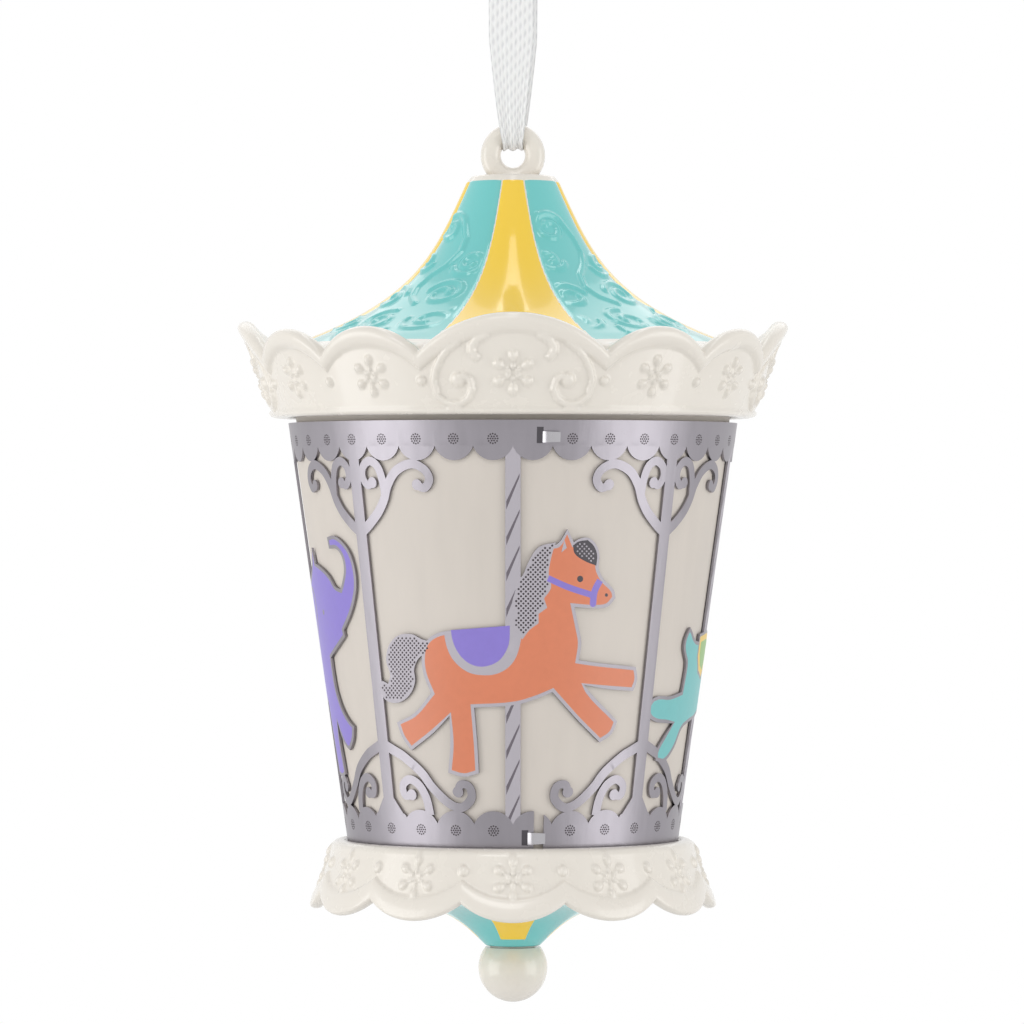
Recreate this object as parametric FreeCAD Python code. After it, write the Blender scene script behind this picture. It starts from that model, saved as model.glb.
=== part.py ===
import FreeCAD, Part
import math
import os

# Hanging carousel music box, in millimetres. +Z is up and the front faces -Y.
# The origin is the hook point, inside the top of the ribbon loop.
# The canopy hangs still, the drum turns below it and the ball winds the spring.

Vector = FreeCAD.Vector

# Ribbon hanger
HANG_DROP = 33.0
RIBBON_WIDTH = 6.0
RIBBON_THICK = 0.3
RIBBON_GATHERED = 2.0
RIBBON_GATHER_RUN = 17.0
RIBBON_SPREAD_DROP = 3.0
KNOT_R = 1.9
KNOT_LENGTH = 5.2
KNOT_LIFT = 3.2
TAIL_LENGTH = 7.0

# Eye on the roof
EYE_HOLE_R = 1.6
EYE_WALL = 2.7
EYE_DEPTH = 3.4
EYE_ROUND = 1.2
EYE_RIBBON_GAP = 0.5

# Roof and valance
ROOF_TOP_R = 5.6
ROOF_TOP_DROP = 2.9
ROOF_H = 22.9
EAVE_R = 30.4
ROOF_WALL = 2.4
ROOF_LINEAR = 0.42
RIM_DROP = 9.2
VALANCE_TOP_R = 36.7
VALANCE_FOOT_R = 32.4
VALANCE_H = 12.9
VALANCE_WALL = 2.5
FOOT_ROUND = 1.0
WIDE_HALF = 20.5
NARROW_HALF = (45.0 - WIDE_HALF) / 2.0
NARROW_STEP = 1.6
NOTCH_STEP = 4.1

# Metal wrap
WRAP_TOP_R = 29.9
WRAP_BOTTOM_R = 22.0
WRAP_H = 55.6
WRAP_THICK = 0.3
WRAP_GAP = 0.7
BAND_H = 3.3
SCALLOP_R = 2.7
SCALLOP_SINK = 0.8
TOP_SCALLOPS = 36
BOTTOM_SCALLOPS = 28
POST_W = 1.9
POLE_W = 2.0
SCROLL_W = 1.3
SEAM_ANGLE = 7.5
SEAM_GAP = 0.5
TAB_LENGTH = 2.4
TAB_H = 1.3
DISC_SIDES = 16

# Drum
DRUM_WALL = 2.6
DRUM_STANDOFF = 0.8
DRUM_ENTRY = 0.8
DRUM_RUN = 0.6

# Base, cone and knob
SEAT_FIT = 0.3
LIP_H = 0.6
SHOULDER_R = 24.4
SHOULDER_DROP = 0.7
SKIRT_R = 26.9
SKIRT_DROP = 9.0
SKIRT_WALL = 2.2
SKIRT_SCALLOPS = 12
SKIRT_NOTCH = 2.3
CONE_TOP_R = 22.0
CONE_TOP_DROP = 6.4
CONE_H = 7.5
CONE_WALL = 2.4
NECK_R = 3.7
KNOB_R = 4.6
KNOB_GRIP = 5.0
WASHER_THICK = 0.25
WASHER_R = 3.0

# Movement plates
PLATE_THICK = 1.2
PLATE_FIT = 0.2
PLATE_CLEAR = 0.8
LEDGE_W = 2.2
PILLAR_H = 18.6
PILLAR_R = 1.7
PILLAR_RADIUS = 18.0
PILLAR_ANGLES = (75.0, 180.0, 285.0)
BED_R = 21.0
SCREW_R = 0.8
SCREW_HEAD_R = 1.5
SCREW_HEAD_H = 0.9
SCREW_BITE = 2.5
SCREW_FIT = 0.05

# Gear train
BIG_MODULE = 0.4
SMALL_MODULE = 0.3
GREAT_TEETH = 48
CYLINDER_PINION_TEETH = 12
CYLINDER_WHEEL_TEETH = 36
IDLER_PINION_TEETH = 8
IDLER_WHEEL_TEETH = 32
FLY_PINION_TEETH = 8
WHEEL_THICK = 0.8
PINION_EXTRA = 0.3
IDLER_BEARING = -120.0
FLY_BEARING = -165.0
PIVOT_FIT = 0.05

# Spring barrel and arbor
GREAT_THICK = 1.4
BARREL_DROP = 0.8
BARREL_H = 10.0
BARREL_R = 8.8
BARREL_WALL = 0.8
COVER_THICK = 1.0
ARBOR_R = 1.5
HUB_R = 2.6
SPRING_TURNS = 7
SPRING_THICK = 0.25
SPRING_SIDE_GAP = 0.4
DISC_THICK = 1.4
DISC_BOND = 0.1
DISC_SCREW_RADIUS = 5.6
DISC_SCREW_ANGLES = (30.0, 150.0, 270.0)
BUSH_R = 2.5
BUSH_H = 4.0
BUSH_FLANGE_R = 3.4
BUSH_FLANGE_H = 0.8

# Ratchet and click
RATCHET_TEETH = 12
RATCHET_R = 4.2
RATCHET_DEPTH = 0.7
RATCHET_THICK = 1.0
RING_R = 3.0
RING_THICK = 0.5
REST_GAP = 0.05
ARBOR_PROUD = 0.7
CLICK_REACH = 8.0
CLICK_HUB_R = 1.3
CLICK_ARM_W = 1.1
CLICK_STUD_R = 0.6
CLICK_SPRING_WIRE = 0.12
CLICK_SPRING_TURNS = 3

# Cylinder, comb and fly
CYLINDER_R = 4.5
CYLINDER_H = 12.2
CYLINDER_LIFT = 1.4
CYLINDER_ARBOR_R = 0.8
PIN_R = 0.14
PIN_PROUD = 0.5
COMB_TEETH = 18
PINS_PER_TOOTH = 3
COMB_PITCH = 0.62
TOOTH_W = 0.45
TOOTH_L = 4.4
TIP_GAP = 0.15
COMB_HEEL = 3.5
COMB_THICK = 0.9
COMB_POST_W = 3.0
COMB_SCREW_R = 0.7
IDLER_ARBOR_R = 0.6
FLY_ARBOR_R = 0.5
FLY_R = 3.8
FLY_H = 9.0
FLY_THICK = 0.3
FLY_SLEEVE_R = 0.9
TRAIN_GAP = 0.8

# Heights, from the hook point down
Z_EYE = -HANG_DROP
EYE_R = EYE_HOLE_R + EYE_WALL
Z_ROOF = Z_EYE - ROOF_TOP_DROP
Z_EAVE = Z_ROOF - ROOF_H
Z_RIM = Z_EAVE - RIM_DROP
Z_PEAK = Z_RIM + VALANCE_H
Z_DRUM_TOP = Z_RIM + DRUM_ENTRY
Z_WRAP_TOP = Z_RIM - WRAP_GAP
Z_SEAT = Z_WRAP_TOP - WRAP_H
Z_SKIRT = Z_SEAT - SKIRT_DROP
Z_CONE = Z_SEAT - CONE_TOP_DROP
Z_NECK = Z_CONE - CONE_H
Z_KNOB = Z_NECK - WASHER_THICK
Z_PLATE = Z_DRUM_TOP + PLATE_CLEAR
Z_LEDGE = Z_PLATE + PLATE_THICK
Z_BED_TOP = Z_PLATE - PILLAR_H
Z_BED = Z_BED_TOP - PLATE_THICK
Z_GREAT_TOP = Z_BED - BARREL_DROP
Z_GREAT = Z_GREAT_TOP - GREAT_THICK
Z_BARREL = Z_GREAT_TOP - BARREL_H
Z_DISC = Z_BARREL - DISC_THICK
Z_RATCHET = Z_BED_TOP + REST_GAP
Z_RING = Z_RATCHET + RATCHET_THICK
Z_ARBOR_TOP = Z_RING + RING_THICK + ARBOR_PROUD
Z_CYLINDER = Z_BED_TOP + CYLINDER_LIFT
Z_CYLINDER_TOP = Z_CYLINDER + CYLINDER_H
Z_CYLINDER_WHEEL = Z_CYLINDER_TOP + TRAIN_GAP
Z_IDLER_WHEEL = Z_CYLINDER_WHEEL + WHEEL_THICK + TRAIN_GAP + PINION_EXTRA


def slope_r(z):
    """Outer radius of the wrap's cone at a height."""
    share = (Z_WRAP_TOP - z) / WRAP_H
    return WRAP_TOP_R + (WRAP_BOTTOM_R - WRAP_TOP_R) * share


def drum_outer(z):
    return slope_r(z) - WRAP_THICK - DRUM_STANDOFF


def drum_inner(z):
    return drum_outer(z) - DRUM_WALL


OPEN_R = drum_outer(Z_DRUM_TOP) + DRUM_RUN
CAVITY_R = OPEN_R - LEDGE_W

# Gear centres in plan
CYLINDER_AT = Vector(BIG_MODULE * (GREAT_TEETH + CYLINDER_PINION_TEETH) / 2.0, 0, 0)
IDLER_SPAN = SMALL_MODULE * (CYLINDER_WHEEL_TEETH + IDLER_PINION_TEETH) / 2.0
FLY_SPAN = SMALL_MODULE * (IDLER_WHEEL_TEETH + FLY_PINION_TEETH) / 2.0


def polar(radius, degrees, z=0.0):
    turn = math.radians(degrees)
    return Vector(radius * math.cos(turn), radius * math.sin(turn), z)


IDLER_AT = CYLINDER_AT + polar(IDLER_SPAN, IDLER_BEARING)
FLY_AT = IDLER_AT + polar(FLY_SPAN, FLY_BEARING)
Z_AXIS = Vector(0, 0, 1)


def rod(radius, z0, z1, at=None):
    place = Vector(0, 0, z0) if at is None else Vector(at.x, at.y, z0)
    return Part.makeCylinder(radius, z1 - z0, place)


def tube(outer, inner, z0, z1, at=None):
    return rod(outer, z0, z1, at).cut(rod(inner, z0, z1, at))


def sweep_profile(edges):
    """Turned solid from a closed profile in the XZ plane."""
    face = Part.Face(Part.Wire(Part.__sortEdges__(edges)))
    return face.revolve(Vector(0, 0, 0), Z_AXIS, 360)


def line(a, b):
    return Part.makeLine(Vector(a[0], 0, a[1]), Vector(b[0], 0, b[1]))


def arc(a, middle, b):
    points = [Vector(p[0], 0, p[1]) for p in (a, middle, b)]
    return Part.Arc(*points).toShape()


def chain(points):
    return [line(a, b) for a, b in zip(points, points[1:])]


def hollow_curve(r0, z0, r1, z1, steps=8):
    """Concave roof line from a narrow end to a wide end."""
    points = []
    for i in range(steps + 1):
        s = i / steps
        share = ROOF_LINEAR * s + (1.0 - ROOF_LINEAR) * s ** 4
        points.append(Vector(r0 + (r1 - r0) * share, 0, z0 + (z1 - z0) * s))
    curve = Part.BSplineCurve()
    curve.interpolate(points)
    return curve.toShape()


def extrude_polygon(points, z0, height):
    ring = [Vector(p.x, p.y, z0) for p in points]
    return Part.Face(Part.makePolygon(ring + ring[:1])).extrude(Vector(0, 0, height))


def outward(degrees):
    """Direction out of the surface; 0 is the front and 90 the right side."""
    turn = math.radians(degrees)
    return Vector(math.sin(turn), -math.cos(turn), 0)


def onto_panel(points, degrees, radius):
    """Points given as (across, height) in the upright plane that touches a radius."""
    out = outward(degrees)
    across = Vector(-out.y, out.x, 0)
    return [out * radius + across * p[0] + Vector(0, 0, p[1]) for p in points]


def pie_slice(degrees, half, reach, z0, z1):
    """Wedge of the whole round, centred on a surface direction."""
    face = Part.Face(Part.makePolygon([
        Vector(0, 0, z0), Vector(reach, 0, z0), Vector(reach, 0, z1), Vector(0, 0, z1), Vector(0, 0, z0)]))
    wedge = face.revolve(Vector(0, 0, 0), Z_AXIS, 2.0 * half)
    wedge.rotate(Vector(0, 0, 0), Z_AXIS, degrees - 90.0 - half)
    return wedge


def scallop_cutter(degrees, half, radius, z_notch, z_peak, z_far):
    """What lies beyond one round scallop, from its edge to a far height."""
    across = radius * math.sin(math.radians(half))
    wide = 2.0 * across
    left, top, right = onto_panel([(-across, z_notch), (0, z_peak), (across, z_notch)], degrees, 0)
    outer = onto_panel([(across, z_notch), (wide, z_notch), (wide, z_far), (-wide, z_far), (-wide, z_notch),
                        (-across, z_notch)], degrees, 0)
    edges = [Part.Arc(left, top, right).toShape()]
    edges += [Part.makeLine(a, b) for a, b in zip(outer, outer[1:])]
    face = Part.Face(Part.Wire(Part.__sortEdges__(edges)))
    block = face.extrude(outward(degrees) * (2.0 * radius))
    low, high = min(z_notch, z_far) - 1.0, max(z_notch, z_far) + 1.0
    return block.common(pie_slice(degrees, half, 2.0 * radius, low, high))


# Porcelain canopy

def make_canopy():
    foot = VALANCE_FOOT_R - FOOT_ROUND
    lip = VALANCE_TOP_R - VALANCE_WALL / 2.0
    bend = FOOT_ROUND * (1.0 - math.sqrt(0.5))
    profile = [hollow_curve(ROOF_TOP_R, Z_ROOF, EAVE_R, Z_EAVE)]
    profile += [line((EAVE_R, Z_EAVE), (VALANCE_TOP_R - VALANCE_WALL, Z_PEAK))]
    profile += [arc((VALANCE_TOP_R - VALANCE_WALL, Z_PEAK), (lip, Z_PEAK + VALANCE_WALL / 2.0), (VALANCE_TOP_R, Z_PEAK))]
    profile += [line((VALANCE_TOP_R, Z_PEAK), (VALANCE_FOOT_R, Z_RIM + FOOT_ROUND))]
    profile += [arc((VALANCE_FOOT_R, Z_RIM + FOOT_ROUND), (VALANCE_FOOT_R - bend, Z_RIM + bend), (foot, Z_RIM))]
    profile += chain([(foot, Z_RIM), (0, Z_RIM), (0, Z_ROOF), (ROOF_TOP_R, Z_ROOF)])
    body = sweep_profile(profile)
    z_inner = Z_ROOF - ROOF_WALL
    z_spring = Z_EAVE - ROOF_WALL
    hollow = [hollow_curve(ROOF_TOP_R - ROOF_WALL / 2.0, z_inner, CAVITY_R, z_spring)]
    hollow += chain([(CAVITY_R, z_spring), (CAVITY_R, Z_LEDGE), (OPEN_R, Z_LEDGE), (OPEN_R, Z_RIM - 1.0),
                     (0, Z_RIM - 1.0), (0, z_inner), (ROOF_TOP_R - ROOF_WALL / 2.0, z_inner)])
    body = body.cut(sweep_profile(hollow))
    cutters = []
    z_far = Z_PEAK + 2.0 * VALANCE_WALL
    for quarter in range(4):
        middle = 90.0 * quarter
        cutters.append(scallop_cutter(middle, WIDE_HALF, VALANCE_TOP_R, Z_PEAK - NOTCH_STEP, Z_PEAK, z_far))
        for side in (-1, 1):
            centre = middle + side * (WIDE_HALF + NARROW_HALF)
            cutters.append(scallop_cutter(centre, NARROW_HALF, VALANCE_TOP_R, Z_PEAK - NOTCH_STEP,
                                          Z_PEAK - NARROW_STEP, z_far))
    ring_cut = tube(VALANCE_TOP_R + 2.0, EAVE_R, Z_EAVE - 1.0, z_far)
    body = body.cut(Part.makeCompound([c.common(ring_cut) for c in cutters]))
    eye = Part.makeCylinder(EYE_R, EYE_DEPTH, Vector(0, -EYE_DEPTH / 2.0, Z_EYE), Vector(0, 1, 0))
    hole = Part.makeCylinder(EYE_HOLE_R, 2.0 * EYE_DEPTH, Vector(0, -EYE_DEPTH, Z_EYE), Vector(0, 1, 0))
    eye = eye.cut(hole)
    eye = eye.makeFillet(EYE_ROUND, [e for e in eye.Edges if e.Curve.TypeId == "Part::GeomCircle"])
    return body.fuse(eye).removeSplitter()


# Turning drum and base

def make_drum():
    outer_top = drum_outer(Z_DRUM_TOP)
    outer_low = drum_outer(Z_SEAT)
    inner_top = drum_inner(Z_DRUM_TOP)
    inner_low = drum_inner(Z_SEAT)
    return sweep_profile(chain([(inner_top, Z_DRUM_TOP), (outer_top, Z_DRUM_TOP), (outer_low, Z_SEAT),
                                (inner_low, Z_SEAT), (inner_top, Z_DRUM_TOP)]))


def make_base():
    lip_in = WRAP_BOTTOM_R + SEAT_FIT
    lip_mid = (lip_in + SHOULDER_R) / 2.0
    z_shoulder = Z_SEAT - SHOULDER_DROP
    inside = SKIRT_R - SKIRT_WALL
    profile = [line((0, Z_SEAT), (lip_in, Z_SEAT)), line((lip_in, Z_SEAT), (lip_in, Z_SEAT + LIP_H / 2.0))]
    profile += [arc((lip_in, Z_SEAT + LIP_H / 2.0), (lip_mid, Z_SEAT + LIP_H / 2.0), (SHOULDER_R, z_shoulder))]
    profile += [line((SHOULDER_R, z_shoulder), (SKIRT_R, Z_SKIRT))]
    profile += chain([(SKIRT_R, Z_SKIRT), (inside, Z_SKIRT), (CONE_TOP_R, Z_CONE)])
    profile += [hollow_curve(NECK_R, Z_NECK, CONE_TOP_R, Z_CONE)]
    profile += chain([(NECK_R, Z_NECK), (0, Z_NECK), (0, Z_SEAT)])
    body = sweep_profile(profile)
    dish_r = drum_inner(Z_SEAT)
    z_floor = Z_NECK + BUSH_H - BUSH_FLANGE_H
    z_dish = Z_CONE + CONE_WALL
    hollow = [hollow_curve(BUSH_FLANGE_R + SEAT_FIT, z_floor, dish_r, z_dish)]
    hollow += chain([(dish_r, z_dish), (dish_r, Z_SEAT + 1.0), (0, Z_SEAT + 1.0), (0, z_floor),
                     (BUSH_FLANGE_R + SEAT_FIT, z_floor)])
    body = body.cut(sweep_profile(hollow)).cut(rod(BUSH_R, Z_NECK - 1.0, z_floor + 1.0))
    half = 180.0 / SKIRT_SCALLOPS
    cutters = []
    for i in range(SKIRT_SCALLOPS):
        cutters.append(scallop_cutter(2.0 * half * i, half, SKIRT_R, Z_SKIRT + SKIRT_NOTCH, Z_SKIRT, Z_NECK))
    skirt_ring = tube(SKIRT_R + 1.0, CONE_TOP_R, Z_NECK, Z_CONE)
    return body.cut(Part.makeCompound([c.common(skirt_ring) for c in cutters])).removeSplitter()


def make_knob():
    z_centre = Z_KNOB - math.sqrt(KNOB_R ** 2 - NECK_R ** 2)
    ball = Part.makeSphere(KNOB_R, Vector(0, 0, z_centre))
    ball = ball.cut(rod(KNOB_R, Z_KNOB, Z_KNOB + KNOB_R))
    return ball.cut(rod(ARBOR_R, Z_KNOB - KNOB_GRIP, Z_KNOB + 1.0))


# Metal wrap, cut from one conical sheet

def panel_face(points, degrees):
    ring = onto_panel(points, degrees, 0)
    return Part.Face(Part.makePolygon(ring + ring[:1]))


def round_face(points, degrees):
    """Face inside a smooth closed line, cut as short straight runs."""
    curve = Part.BSplineCurve()
    curve.interpolate(onto_panel(points, degrees, 0), PeriodicFlag=True)
    ring = curve.discretize(Number=3 * len(points) + 1)
    return Part.Face(Part.makePolygon(ring))


def stroke(points, width, degrees):
    """Flat strip of even width along a smooth line in a panel, cut as short straight runs."""
    path = Part.BSplineCurve()
    path.interpolate([Vector(p[0], p[1], 0) for p in points])
    first, last = path.FirstParameter, path.LastParameter
    count = 2 * len(points)
    left, right = [], []
    for i in range(count + 1):
        u = first + (last - first) * i / count
        at = path.value(u)
        along = path.tangent(u)[0]
        left.append((at.x - along.y * width / 2.0, at.y + along.x * width / 2.0))
        right.append((at.x + along.y * width / 2.0, at.y - along.x * width / 2.0))
    return panel_face(left + right[::-1], degrees)


def disc(at, radius, degrees):
    ring = []
    for i in range(DISC_SIDES):
        turn = 2.0 * math.pi * i / DISC_SIDES
        ring.append((at[0] + radius * math.cos(turn), at[1] + radius * math.sin(turn)))
    return panel_face(ring, degrees)


def bracket_lines(z_root, z_band):
    """Two scroll lines that leave a post and reach a band, on its right side."""
    rise = z_band - z_root
    main = [(0, z_root), (1.7, z_root + 0.24 * rise), (3.6, z_root + 0.6 * rise), (6.0, z_root + 0.92 * rise),
            (8.4, z_root + 0.9 * rise), (8.6, z_root + 0.66 * rise), (7.2, z_root + 0.66 * rise)]
    side = [(1.7, z_root + 0.24 * rise), (3.4, z_root + 0.62 * rise), (3.2, z_root + 0.95 * rise)]
    return [main, side]


def make_horse(middle, degrees):
    """Galloping horse seen from its right side, drawn as strips about the pole."""
    def strip(points, width):
        return stroke([(x, middle + z) for x, z in points], width, degrees)
    torso = [(-9.5, 0.5), (-8.0, 3.6), (-3.5, 3.0), (2.0, 3.6), (5.4, 3.4), (7.6, -1.6), (4.2, -6.8), (-1.5, -8.6),
             (-6.2, -8.6), (-9.6, -4.8)]
    body = round_face([(x, middle + z) for x, z in torso], degrees)
    pieces = [body, strip([(4.0, 1.0), (5.5, 6.0), (7.5, 9.5)], 6.6), strip([(7.4, 10.0), (9.6, 8.0), (12.2, 5.9)], 3.8)]
    pieces.append(panel_face([(4.5, middle + 10.0), (7.4, middle + 14.4), (8.4, middle + 10.5)], degrees))
    pieces.append(strip([(5.5, -3.0), (10.5, -3.6), (15.6, -4.4)], 3.0))
    pieces.append(strip([(4.5, -4.5), (8.2, -7.6), (11.8, -11.8)], 3.0))
    pieces.append(strip([(-6.6, -5.0), (-6.5, -11.0), (-6.4, -16.8)], 3.4))
    pieces.append(strip([(-7.2, -5.0), (-10.0, -9.0), (-14.2, -12.6)], 3.2))
    pieces.append(strip([(-8.6, 1.6), (-12.6, 3.0), (-14.4, 0.2), (-13.6, -3.0), (-15.6, -4.4)], 2.4))
    return pieces


def make_elephant(middle, degrees):
    """Trotting elephant with its trunk raised."""
    def strip(points, width):
        return stroke([(x, middle + z) for x, z in points], width, degrees)
    torso = [(-9.5, 1.0), (-7.0, 4.6), (0.0, 5.4), (6.5, 5.0), (8.0, 0.0), (6.0, -5.4), (0.0, -6.6), (-7.0, -5.6)]
    pieces = [round_face([(x, middle + z) for x, z in torso], degrees), disc((8.0, middle + 5.0), 4.6, degrees)]
    pieces.append(strip([(10.0, 4.0), (13.4, 4.4), (14.4, 8.0), (12.8, 11.4)], 2.4))
    for foot, lean in ((-7.5, -11.0), (-3.6, -4.0), (3.0, 2.6), (6.4, 10.0)):
        pieces.append(strip([(foot, -2.0), ((foot + lean) / 2.0, -8.0), (lean, -12.4)], 3.6))
    pieces.append(strip([(-9.0, 2.0), (-11.6, 0.6), (-12.4, -3.0)], 1.2))
    return pieces


def make_cat(middle, degrees):
    """Leaping cat with its tail up."""
    def strip(points, width):
        return stroke([(x, middle + z) for x, z in points], width, degrees)
    torso = [(-9.5, 1.0), (-7.0, 4.0), (0.0, 3.6), (6.5, 4.4), (8.4, 0.0), (5.0, -4.4), (-1.0, -5.0), (-7.0, -4.4)]
    pieces = [round_face([(x, middle + z) for x, z in torso], degrees), disc((9.4, middle + 7.6), 4.4, degrees)]
    for side in (-1, 1):
        ear = [(9.4 + 0.6 * side, middle + 10.0), (9.4 + 4.0 * side, middle + 14.2), (9.4 + 4.0 * side, middle + 8.4)]
        pieces.append(panel_face(ear, degrees))
    for foot, reach in ((-7.0, -13.6), (-5.0, -8.6), (4.6, 9.6), (6.4, 14.0)):
        pieces.append(strip([(foot, -1.0), ((foot + reach) / 2.0, -6.4), (reach, -10.8)], 3.2))
    pieces.append(strip([(-8.6, 1.6), (-12.0, 4.0), (-13.0, 8.6), (-12.0, 12.4)], 2.0))
    return pieces


def make_wrap():
    z_low_band = Z_SEAT + BAND_H
    z_high_band = Z_WRAP_TOP - BAND_H
    span = z_high_band - z_low_band
    middle = z_low_band + 0.56 * span
    reach = 1.2 * WRAP_TOP_R
    sheet = sweep_profile(chain([(slope_r(Z_SEAT) - WRAP_THICK, Z_SEAT), (slope_r(Z_SEAT), Z_SEAT),
                                 (slope_r(Z_WRAP_TOP), Z_WRAP_TOP), (slope_r(Z_WRAP_TOP) - WRAP_THICK, Z_WRAP_TOP),
                                 (slope_r(Z_SEAT) - WRAP_THICK, Z_SEAT)]))
    blanks = [tube(reach, 0.5 * WRAP_BOTTOM_R, z_high_band, Z_WRAP_TOP + 1.0),
              tube(reach, 0.5 * WRAP_BOTTOM_R, Z_SEAT - 1.0, z_low_band)]
    for count, height in ((TOP_SCALLOPS, z_high_band + SCALLOP_SINK), (BOTTOM_SCALLOPS, z_low_band - SCALLOP_SINK)):
        for i in range(count):
            degrees = 360.0 * (i + 0.5) / count
            blanks.append(disc((0, height), SCALLOP_R, degrees).extrude(outward(degrees) * reach))
    pole = [(-POLE_W / 2.0, Z_SEAT + 1.0), (POLE_W / 2.0, Z_SEAT + 1.0), (POLE_W / 2.0, Z_WRAP_TOP - 1.0),
            (-POLE_W / 2.0, Z_WRAP_TOP - 1.0)]
    post = [(p[0] * POST_W / POLE_W, p[1]) for p in pole]
    makers = (make_horse, make_cat, make_horse, make_elephant)
    panels = []
    for i, maker in enumerate(makers):
        panels.append((90.0 * i, [panel_face(pole, 90.0 * i)] + maker(middle, 90.0 * i)))
        degrees = 90.0 * i + 45.0
        faces = [panel_face(post, degrees)]
        for z_root, z_band in ((z_high_band - 0.28 * span, z_high_band), (z_low_band + 0.2 * span, z_low_band)):
            for points in bracket_lines(z_root, z_band):
                faces.append(stroke(points, SCROLL_W, degrees))
                faces.append(stroke([(-x, z) for x, z in points], SCROLL_W, degrees))
        panels.append((degrees, faces))
    for degrees, faces in panels:
        blanks += [face.extrude(outward(degrees) * reach) for face in faces]
    kept = [sheet.common(blank) for blank in blanks]
    wrap = kept[0].multiFuse(kept[1:])
    slits = []
    for z_slit in (z_high_band - SCALLOP_R, Z_SEAT - 1.0):
        slit = Part.makeBox(SEAM_GAP, reach, BAND_H + SCALLOP_R + 1.0, Vector(-SEAM_GAP / 2.0, -reach, z_slit))
        slit.rotate(Vector(0, 0, 0), Z_AXIS, SEAM_ANGLE)
        slits.append(slit)
    wrap = wrap.cut(Part.makeCompound(slits))
    tabs = []
    for z_tab in (Z_WRAP_TOP - BAND_H / 2.0, Z_SEAT + BAND_H / 2.0):
        skin = sweep_profile(chain([(slope_r(z_tab - TAB_H / 2.0), z_tab - TAB_H / 2.0),
                                    (slope_r(z_tab - TAB_H / 2.0) + WRAP_THICK, z_tab - TAB_H / 2.0),
                                    (slope_r(z_tab + TAB_H / 2.0) + WRAP_THICK, z_tab + TAB_H / 2.0),
                                    (slope_r(z_tab + TAB_H / 2.0), z_tab + TAB_H / 2.0),
                                    (slope_r(z_tab - TAB_H / 2.0), z_tab - TAB_H / 2.0)]))
        half = math.degrees(TAB_LENGTH / slope_r(z_tab)) / 2.0
        tabs.append(skin.common(pie_slice(SEAM_ANGLE, half, reach, z_tab - TAB_H, z_tab + TAB_H)))
    return wrap.multiFuse(tabs).removeSplitter()


# Ribbon

def ribbon_route():
    """Corner points of the ribbon in the YZ plane, front strand first."""
    side = EYE_DEPTH / 2.0 + EYE_RIBBON_GAP + RIBBON_THICK / 2.0
    z_low = Z_EYE + EYE_HOLE_R - EYE_RIBBON_GAP - RIBBON_THICK / 2.0
    z_knot = KNOT_LIFT - KNOT_R
    near = RIBBON_THICK
    return [(-near, z_knot), (-side, -RIBBON_SPREAD_DROP), (-side, z_low), (side, z_low), (side, -RIBBON_SPREAD_DROP),
            (near, z_knot)]


def rounded_route(points, shares, offset):
    """Edges of straight runs joined by tangent arcs, set off to one side."""
    flat = [Vector(0, p[0], p[1]) for p in points]
    edges = []
    start = None
    for i, corner in enumerate(flat):
        before = (corner - flat[i - 1]).normalize() if i else (flat[1] - corner).normalize()
        after = (flat[i + 1] - corner).normalize() if i + 1 < len(flat) else before
        side_before = Vector(0, -before.z, before.y) * offset
        side_after = Vector(0, -after.z, after.y) * offset
        if i == 0:
            start = corner + side_after
            continue
        if i + 1 == len(flat):
            edges.append(Part.makeLine(start, corner + side_before))
            continue
        cut = shares[i - 1]
        a = corner - before * cut
        b = corner + after * cut
        bisector = (after - before).normalize()
        turn = before.getAngle(after)
        radius = cut / math.tan(turn / 2.0)
        centre = corner + bisector * (radius / math.cos(turn / 2.0))
        inner = (centre - a).normalize()
        reach = radius - offset * inner.dot(Vector(0, -before.z, before.y))
        middle = centre - bisector * reach
        edges.append(Part.makeLine(start, a + side_before))
        edges.append(Part.Arc(a + side_before, middle, b + side_after).toShape())
        start = b + side_after
    return edges


def make_ribbon():
    points = ribbon_route()
    low_run = points[3][0] - points[2][0]
    turn_cut = 0.45 * low_run
    slack_cut = 0.45 * RIBBON_SPREAD_DROP
    shares = [slack_cut, turn_cut, turn_cut, slack_cut]
    outer = rounded_route(points, shares, RIBBON_THICK / 2.0)
    inner = rounded_route(points, shares, -RIBBON_THICK / 2.0)
    ends = [Part.makeLine(outer[0].Vertexes[0].Point, inner[0].Vertexes[0].Point),
            Part.makeLine(outer[-1].Vertexes[-1].Point, inner[-1].Vertexes[-1].Point)]
    face = Part.Face(Part.Wire(Part.__sortEdges__(outer + inner + ends)))
    band = face.extrude(Vector(RIBBON_WIDTH, 0, 0))
    band.translate(Vector(-RIBBON_WIDTH / 2.0, 0, 0))
    z_low = points[2][1]
    narrow, wide = RIBBON_GATHERED / 2.0, RIBBON_WIDTH / 2.0
    taper = [(-narrow, z_low - 1.0), (narrow, z_low - 1.0), (narrow, z_low + RIBBON_THICK),
             (wide, z_low + RIBBON_GATHER_RUN), (wide, KNOT_LIFT), (-wide, KNOT_LIFT),
             (-wide, z_low + RIBBON_GATHER_RUN), (-narrow, z_low + RIBBON_THICK)]
    ring = [Vector(x, -10.0, z) for x, z in taper]
    outline = Part.Face(Part.makePolygon(ring + ring[:1])).extrude(Vector(0, 20.0, 0))
    return band.common(outline)


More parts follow.
